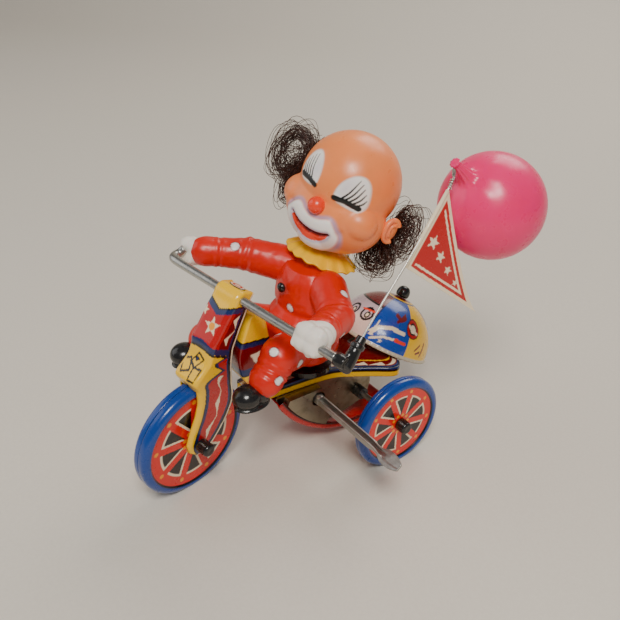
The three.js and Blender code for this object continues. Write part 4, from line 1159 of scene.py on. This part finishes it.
class TRICYCLE_OT_rider(bpy.types.Operator):
    """Mould the rider's body, legs, boots, button and collar in vinyl"""

    bl_idname = "tricycle.rider"
    bl_label = "Rider"

    def execute(self, context):
        shapes = [ellipsoid(c, r) for c, r in TORSO]
        shapes.append(ellipsoid((0, -26, 60), (19, 16.5, 12)))
        points, faces, normals = moulded(shapes, 0.65, 9)
        points = folds(points, normals, (0, -30, 76), (0, -0.1, 1), 4, 5.5, 0.35, 16)
        points = creased(points, normals, 0.6, 9.0, 3.0)
        points[:, 2] = np.clip(points[:, 2], 47.6, 99.3)
        near_neck = (points[:, 1] < -41) & (np.abs(points[:, 0]) < 8.2) & (points[:, 2] < 88)
        points[near_neck, 1] = np.maximum(points[near_neck, 1], -45.2 - (points[near_neck, 2] - 58) * 0.25)
        piece("moulded_body", points, faces, GROUND, "chassis", "suit", ("rider_body",),
              suit_art(points, SUIT_DOTS))
        button, faces = ellipsoid(BUTTON, (2.4, 1.7, 2.4), segments=28, rings=16)
        piece("moulded_button", button, faces, GROUND, "chassis", "black", ("coat_button",))
        legs = {"left": ((13, -38, 66), (19, -52, 70), (20.6, -59, 62), (21.4, -69, 56)),
                "right": ((-13, -38, 66), (-20, -58, 71), (-21.8, -66.5, 64.5), (-22.6, -77.5, 58))}
        for word, (hip, knee, ankle, shoe) in legs.items():
            knee, ankle, shoe = np.array(knee, float), np.array(ankle, float), np.array(shoe, float)
            cuff = knee + (ankle - knee) * 0.7
            hem = ankle + (shoe - ankle) * 0.2
            points, faces, normals = moulded(
                [limb(hip, knee, 9.4, 9.1), limb(knee, ankle, 8.8, 7.6), limb(cuff, hem, 7.8, 7.9)], 0.6, 8)
            points = folds(points, normals, knee + (ankle - knee) * 0.75, ankle - knee, 3, 3.6, 0.4, 8)
            points = creased(points, normals, 0.3, 7.0, 9.0)
            piece(f"moulded_{word}_leg", points, faces, GROUND, "chassis", "suit", (f"{word}_leg",),
                  suit_art(points, LEG_DOTS[word]))
            toe = shoe + np.array((0, -2.2, 0.5))
            heel = shoe + np.array((0, 3.6, -0.2))
            points, faces, _ = moulded([ellipsoid(toe, (6.5, 7.0, 5.4)), ellipsoid(heel, (5.3, 5.6, 5.2)),
                                        ellipsoid(shoe + (0, 0, -4.2), (6.2, 9.0, 1.6))], 0.4, 5)
            piece(f"moulded_{word}_boot", points, faces, GROUND, "chassis", "black", (f"{word}_shoe",))
        self.collar()
        return {"FINISHED"}

    def collar(self):
        """A scalloped frill that droops from the neck, thin at its edge."""
        rows, columns = 26, 240
        points = []
        for r in range(rows):
            t = r / (rows - 1)
            for c in range(columns):
                a = 2 * math.pi * c / columns
                scallop = 0.9 * abs(math.sin(a * 7.5)) + 0.35 * math.sin(a * 4 + 0.6)
                radius = 7.6 + (9.1 + scallop) * t
                wave = t * (0.75 * math.sin(a * 15) + 0.5 * math.sin(a * 4 + 1))
                height = -33.2 - 5.6 * t ** 1.4 + wave * 0.6
                points.append((radius * math.cos(a), 0.6 + radius * math.sin(a), height))
        thing = piece("moulded_collar", points, grid(rows, columns, loop_columns=True), HEAD, "chassis",
                      "collar", ("collar",))
        thicken(thing, 1.1, 0.0)


# ---- arms and gloves -------------------------------------------------------------------------------
RIGHT_HAND = (-42.4, 8.6, 76.6)
RIGHT_FIST = (-42.6, 12.2, 76.2)
LEFT_HAND = (47, 1.6, 73.8)


def arm(word, shoulder, elbow, hand):
    """A sleeve from shoulder to glove that bends between the body and the handlebar."""
    shoulder, elbow, hand = (np.array(p, float) for p in (shoulder, elbow, hand))
    wrist = elbow + (hand - elbow) * 0.72
    cuff = elbow + (hand - elbow) * 0.5
    points, faces, normals = moulded(
        [limb(shoulder, elbow, 9.2, 8.4), limb(elbow, wrist, 8.0, 6.8), limb(cuff, wrist, 7.2, 7.4)], 0.6, 8)
    points = folds(points, normals, elbow, elbow - shoulder, 3, 4.6, 0.3, 9)
    points = folds(points, normals, cuff, hand - elbow, 2, 3.6, 0.25, 8)
    points = creased(points, normals, 0.25, 8.0, 5.0)
    thing = piece(f"moulded_{word}_arm", points, faces, GROUND, None, "suit", (f"{word}_arm",),
                  suit_art(points, ARM_DOTS[word]))
    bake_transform(thing)


def glove(word, centre, size, wrist):
    """A mitten closed round the bar: a blocky fist with shallow knuckles, a thumb and a rolled cuff."""
    centre, wrist = np.array(centre, float), np.array(wrist, float)
    wide, deep, tall = size
    shapes = [ellipsoid(centre + (sx * wide * 0.3, sy * deep * 0.24, sz * tall * 0.26),
                        (wide * 0.68, deep * 0.72, tall * 0.7))
              for sx in (-1, 1) for sy in (-1, 1) for sz in (-1, 1)]
    for k in range(4):
        shift = (k - 1.5) * wide * 0.42
        finger = centre + (shift, -deep * 0.5, tall * 0.5), centre + (shift, -deep * 0.62, -tall * 0.5)
        shapes.append(limb(*finger, wide * 0.25, wide * 0.23))
    thumb = centre + (-wide * 0.55, deep * 0.3, -tall * 0.6), centre + (wide * 0.15, -deep * 0.2, -tall * 0.86)
    shapes.append(limb(*thumb, wide * 0.27, wide * 0.22))
    way = (wrist - centre) / np.linalg.norm(wrist - centre)
    shapes.append(limb(centre + way * wide * 0.45, centre + way * wide * 0.78, wide * 0.8, wide * 0.8))
    points, faces, _ = moulded(shapes, 0.4, 7)
    piece(f"moulded_{word}_glove", points, faces, STEERING, "steering", "glove", (f"{word}_hand",))


class TRICYCLE_OT_arms(bpy.types.Operator):
    """Mould the sleeves and the gloves that hold the bar"""

    bl_idname = "tricycle.arms"
    bl_label = "Arms"

    def execute(self, context):
        arm("left", (14, -22, 92), (31, -29.5, 88), carried(LEFT_HAND, STEERING, GROUND))
        arm("right", (-14, -23, 93), (-29, -38, 97), carried(RIGHT_HAND, STEERING, GROUND))
        glove("left", LEFT_HAND, (8.2, 7.0, 7.0), carried((35, -27, 89), GROUND, STEERING))
        glove("right", RIGHT_FIST, (6.6, 5.4, 6.8), carried((-29, -38, 97), GROUND, STEERING))
        return {"FINISHED"}


# ---- head ------------------------------------------------------------------------------------------
ROLL = math.radians(5.5)
MUZZLE = [(0, -16.9), (4.8, -15.4), (7.6, -13.4), (10.0, -13.8), (12.8, -16.8), (15.0, -19.4), (14.8, -23.0),
          (12.2, -27.2), (8.0, -30.4), (0, -31.4)]
MOUTH = [(0, -22.5), (6.2, -21.6), (11.3, -18.9), (9.9, -22.8), (6.4, -26.0), (0, -27.6)]
LIP_LINE = ([0, 6.4, 10.2, 11.3], [-24.5, -23.2, -20.8, -18.9])
EYE = [(5.0, -4.6), (4.7, 0.6), (6.2, 5.6), (9.2, 9.3), (12.6, 10.1), (15.7, 7.6), (17.6, 2.8), (18.0, -2.2),
       (16.6, -5.4), (11.8, -5.6)]
LID = [(5.4, -3.7), (10.2, -2.9), (15.6, -3.5)]
LASHES = [((8.4, -2.6), (11.6, 8.0)), ((10.0, -2.5), (13.2, 7.0)), ((11.6, -2.5), (14.6, 5.4)),
          ((13.1, -2.6), (15.9, 3.4)), ((14.5, -2.8), (17.0, 1.0))]


def both_sides(outline):
    """A left-hand outline and its mirror image, as one closed outline."""
    return [*outline, *[(-x, z) for x, z in outline[::-1][1:-1]]]


def face_place(points):
    """Across and up on the face, which sits a little rolled on the head."""
    x, y, z = points.T
    return x * math.cos(ROLL) - z * math.sin(ROLL) - 1.0, x * math.sin(ROLL) + z * math.cos(ROLL), y < -5


def smooth_closed(outline, turns=2):
    """A closed outline with its corners cut."""
    line = np.asarray(outline, float)
    for _ in range(turns):
        ahead = np.roll(line, -1, axis=0)
        line = np.stack([line * 0.75 + ahead * 0.25, line * 0.25 + ahead * 0.75], 1).reshape(-1, 2)
    return [tuple(p) for p in line]


def signed(x, y, outline):
    """Distance to a closed outline, positive inside it."""
    distance = stroke(x, y, [*outline, outline[0]])
    return np.where(inside(x, y, outline), distance, -distance)


def face_art(points):
    """White eye patches with closed lids and lashes, a white muzzle and a smiling open mouth; lavender painted
    shade in the eye hollows and round the muzzle and mouth.
    """
    u, v, front = face_place(points)
    side = np.abs(u)
    colours = blank(len(points), finish().skin)
    blend_in(colours, 0.5 * front * (1 - np.hypot((side - 17) / 10, (v + 13) / 8)), "blush")
    patch = signed(side, v, smooth_closed(EYE))
    blend_in(colours, front * ((patch + 0.5) / 0.5), "pale")
    blend_in(colours, front * (patch / 0.5), "white")
    # painted shade: a lavender tint in the hollow at the inner side of each eye patch
    shaded_hollow = np.hypot((side - 8.2) / 3.6, (v - 2.6) / 6.0)
    blend_in(colours, 0.3 * front * (patch > 0) * (1.2 - shaded_hollow), "lavender")
    blend_in(colours, front * (1.4 - stroke(side, v, LID)) / 0.3, "black")
    for foot, tip in LASHES:
        bend = (foot[0] + (tip[0] - foot[0]) * 0.72, foot[1] + (tip[1] - foot[1]) * 0.42)
        lash = rounded([foot, bend, tip], 3)
        taper = np.clip((tip[1] - v) / (tip[1] - foot[1]), 0, 1)
        blend_in(colours, front * (0.28 + 0.32 * taper - stroke(side, v, lash)) / 0.25, "black")
    muzzle = signed(u, v, smooth_closed(both_sides(MUZZLE)))
    # painted shade: a lavender ring in the crease round the foot of the raised muzzle
    blend_in(colours, 0.85 * front * (1 - np.abs(muzzle + 0.7) / 1.6), "lavender")
    blend_in(colours, front * (muzzle + 0.2) / 0.8, "white")
    opening = signed(u, v, smooth_closed(both_sides(MOUTH), 1))
    # painted shade: a lavender ring round the rim of the sunken mouth
    blend_in(colours, 0.7 * front * (1 - np.abs(opening + 0.5) / 1.3), "lavender")
    blend_in(colours, front * (opening + 0.15) / 0.3, "mouth")
    blend_in(colours, front * (opening > 0) * (np.interp(side, *LIP_LINE) - v) / 0.3, "lip")
    return colours


def face_relief(points):
    """Raised muzzle and lids, a sunken mouth, full lower lip and dimples."""
    u, v, _ = face_place(points)
    side = np.abs(u)
    front = np.clip((-points[:, 1] - 5) / 6, 0, 1)
    raised = 1 / (1 + np.exp(-signed(u, v, smooth_closed(both_sides(MUZZLE))) * 1.6))
    sunk = 1 / (1 + np.exp(-signed(u, v, smooth_closed(both_sides(MOUTH), 1)) * 3.0))
    lip = sunk * (v < np.interp(side, *LIP_LINE))
    corner = np.exp(-(((side - 14.6) / 1.6) ** 2 + ((v + 17.4) / 2.0) ** 2))
    lid = np.exp(-((stroke(side, v, LID) / 1.4) ** 2))
    return front * (1.4 * raised - 2.4 * sunk + 2.1 * lip - 0.9 * corner + 0.35 * lid)


def ear_shape(side):
    """An ear with a rolled rim and a hollow, as overlapping shapes."""
    turn = Quaternion((0, 0, 1), math.radians(-24 * side))
    middle = np.array((side * 26.2, 3.2, -12.0))
    rim = []
    for a in np.radians(np.linspace(-120, 150, 22)):
        local = Vector((side * (1.0 - 0.5 * abs(math.sin(a))), -4.0 * math.cos(a), 5.4 * math.sin(a)))
        rim.append(middle + np.array(turn @ local))
    inner = []
    for a in np.radians(np.linspace(-60, 110, 12)):
        local = Vector((side * 0.9, -1.9 * math.cos(a) + 0.6, 2.9 * math.sin(a)))
        inner.append(middle + np.array(turn @ local))
    return [ellipsoid(middle - (side * 0.6, 0, 0), (1.7, 4.4, 5.9), turn), sweep(rim, 1.15, 12),
            sweep(inner, 0.8, 10)]


HAIR_SIDES = ((1, "left", 11), (-1, "right", 7))
TUFTS = {
    -1: ((-23.5, 5, 0), [((-38.0, 6, -2), (10.5, 9, 13.5), 0.7), ((-33.0, 8, -16), (6.5, 8, 12.0), 0.3)]),
    1: ((24.5, 12, -12), [((28.5, 13, -13), (7.5, 9, 14.0), 0.25), ((20.0, 13, -29), (11.5, 8, 9.5), 0.2)]),
}


def curls(side, seed):
    """Wisps of curly hair that spring from behind the ear and loop round open centres."""
    rng = random.Random(seed)
    root_middle, lobes = TUFTS[side]
    parts = []
    for _ in range(finish().hair_count):
        middle, size, least = rng.choice(lobes)
        middle, size = np.array(middle) + [rng.gauss(0, s) for s in (1.6, 1.2, 2.0)], np.array(size)
        root = np.array(root_middle) + np.array([rng.gauss(0, s) for s in (0.6, 2.6, 5.0)])
        phase, loops = rng.uniform(0, 2 * math.pi), rng.uniform(0.55, 1.35) * rng.choice((-1, 1))
        share, lean, depth = rng.uniform(least, 1.0), rng.uniform(-0.4, 0.4), rng.uniform(-0.75, 0.75)
        fuzz, fuzz_phase = rng.uniform(0.2, 1.1), rng.uniform(0, 6.3)
        line = []
        for t in np.linspace(0, 1, 30):
            angle = phase + 2 * math.pi * loops * t
            ring = np.array((math.cos(angle + lean) * size[0], (depth + 0.25 * math.sin(angle)) * size[1],
                             math.sin(angle) * size[2])) * share
            frizz = np.array([math.sin(t * f + fuzz_phase) for f in (21, 17, 25)]) * fuzz
            join = min(1.0, t * 3.2)
            join = join * join * (3 - 2 * join)
            loop = middle + ring * (0.72 + 0.28 * math.sin(t * 3)) + frizz
            line.append(root * (1 - join) + loop * join)
        thin = rng.uniform(0.09, 0.15)
        parts.append(sweep(np.array(line), [thin, thin, thin * 0.7], 4, None, False))
    return merged(*parts)


class TRICYCLE_OT_head(bpy.types.Operator):
    """Mould and spray the head, its nose and ears, and plant the hair"""

    bl_idname = "tricycle.head"
    bl_label = "Head"

    def execute(self, context):
        shapes = [ellipsoid((0, 0, 0), (23.4, 23.4, 23.4), segments=64, rings=40),
                  ellipsoid((0, -4, -14), (25.4, 18.6, 18.9), segments=64, rings=40),
                  *[ellipsoid((cheek, -9.5, -12.5), (9.6, 9.4, 8.6)) for cheek in (15.5, -15.5)],
                  ellipsoid((0, -9, -25), (10.5, 10.5, 7.8))]
        points, faces, normals = moulded(shapes, 0.42, 26)
        points = points + normals * face_relief(points)[:, None]
        points[:, 2] = np.maximum(points[:, 2], -33.4)
        piece("moulded_head", points, faces, HEAD, "head", "head", ("head",), face_art(points))
        nose, faces = ellipsoid((-0.1, -23.0, -11), (4.0, 3.7, 3.9), segments=40, rings=24)
        piece("moulded_nose", nose, faces, HEAD, "head", "nose", ("nose",))
        for side, word, seed in HAIR_SIDES:
            points, faces, _ = moulded(ear_shape(side), 0.3, 3)
            art = blank(len(points), finish().skin)
            # painted shade: the ear's hollow is darkened towards a deeper pink
            shaded_hollow = np.abs(points[:, 0] * side - 26.3) < 0.9
            art[shaded_hollow] = art[shaded_hollow] * 0.6 + ink("E8795A") * 0.4
            piece(f"moulded_{word}_ear", points, faces, HEAD, "head", "head", (f"{word}_ear",),
                  art)
            points, faces = curls(side, seed)
            piece(f"curled_{word}_hair", points, faces, HEAD, "head", "hair", (f"{word}_hair",))
        return {"FINISHED"}


# ---- stage -----------------------------------------------------------------------------------------
LENS_MM = 46.45
CAMERA_AT = (271.13, -212.04, 275.0)
CAMERA_BACK = (0.7002, -0.4907, 0.5186)
CAMERA_UP = (-0.4247, 0.2976, 0.855)
LAMPS = (
    ("key", (0.55, -0.35, 0.95), 0.35, 10.0, (1.0, 0.96, 0.9)),
    ("fill", (-0.8, -0.7, 0.6), 0.9, 3.0, (1.0, 0.98, 0.96)),
    ("back", (-0.3, 0.8, 0.8), 0.6, 5.0, (1.0, 0.97, 0.92)),
)


class TRICYCLE_OT_stage(bpy.types.Operator):
    """Lay the backdrop, hang the lights and set the camera"""

    bl_idname = "tricycle.stage"
    bl_label = "Stage"

    def execute(self, context):
        scene = context.scene
        profile = [(-1400, 0), (700, 0), (900, 40), (1010, 160), (1050, 400), (1050, 1500)]
        line = rounded(profile, 4)
        points = [(x, y, z) for y, z in line for x in (-1800, 1800)]
        floor = piece("backdrop", points, grid(len(line), 2), Matrix.Rotation(math.radians(35), 4, "Z"), None,
                      "paper")
        middle = Vector((0, 0, 0.07))
        for name, place, size, power, hue in LAMPS:
            lamp = bpy.data.lights.new(name, "AREA")
            lamp.size = size
            lamp.energy = power
            lamp.color = hue
            light = bpy.data.objects.new(name, lamp)
            scene.collection.objects.link(light)
            light.location = place
            light.rotation_euler = (middle - light.location).to_track_quat("-Z", "Y").to_euler()
        world = bpy.data.worlds.new("soft_room")
        scene.world = world
        world.use_nodes = True
        sky = world.node_tree.nodes["Background"].inputs
        sky["Color"].default_value = (0.9, 0.92, 1.0, 1)
        sky["Strength"].default_value = 0.2
        lens = bpy.data.cameras.new("camera")
        lens.sensor_width = 36.0
        lens.lens = LENS_MM
        lens.clip_start = 0.01
        camera = bpy.data.objects.new("camera", lens)
        scene.collection.objects.link(camera)
        back = Vector(CAMERA_BACK).normalized()
        up = Vector(CAMERA_UP)
        up = (up - back * up.dot(back)).normalized()
        turn = Matrix((up.cross(back), up, back)).transposed().to_4x4()
        camera.matrix_world = Matrix.Translation(GROUND @ (Vector(CAMERA_AT) * MM)) @ turn
        scene.camera = camera
        return {"FINISHED"}


# ---- panel and registration ------------------------------------------------------------------------
STEPS = (TRICYCLE_OT_stage, TRICYCLE_OT_wheels, TRICYCLE_OT_fork, TRICYCLE_OT_chassis, TRICYCLE_OT_bell,
         TRICYCLE_OT_handlebar, TRICYCLE_OT_pennant, TRICYCLE_OT_balloon, TRICYCLE_OT_clockwork,
         TRICYCLE_OT_rider, TRICYCLE_OT_arms, TRICYCLE_OT_head)


class TRICYCLE_PT_panel(bpy.types.Panel):
    """The tricycle's finish and its making steps"""

    bl_idname = "TRICYCLE_PT_panel"
    bl_label = "Clown Tricycle"
    bl_space_type = "VIEW_3D"
    bl_region_type = "UI"
    bl_category = "Tricycle"

    def draw(self, context):
        for name in TricycleFinish.__annotations__:
            self.layout.prop(context.scene.tricycle_finish, name)
        for step in STEPS:
            self.layout.operator(step.bl_idname)


def register():
    """Adds the classes and the finish settings."""
    for kind in (TricycleFinish, *STEPS, TRICYCLE_PT_panel):
        bpy.utils.register_class(kind)
    bpy.types.Scene.tricycle_finish = bpy.props.PointerProperty(type=TricycleFinish)


def unregister():
    """Removes them again."""
    del bpy.types.Scene.tricycle_finish
    for kind in (TRICYCLE_PT_panel, *STEPS[::-1], TricycleFinish):
        bpy.utils.unregister_class(kind)


def main():
    register()
    bpy.ops.tricycle.stage()
    bpy.ops.tricycle.wheels()
    bpy.ops.tricycle.fork()
    bpy.ops.tricycle.chassis()
    bpy.ops.tricycle.bell()
    bpy.ops.tricycle.handlebar()
    bpy.ops.tricycle.pennant()
    bpy.ops.tricycle.balloon()
    bpy.ops.tricycle.clockwork()
    bpy.ops.tricycle.rider()
    bpy.ops.tricycle.arms()
    bpy.ops.tricycle.head()


if __name__ == "__main__":
    main()
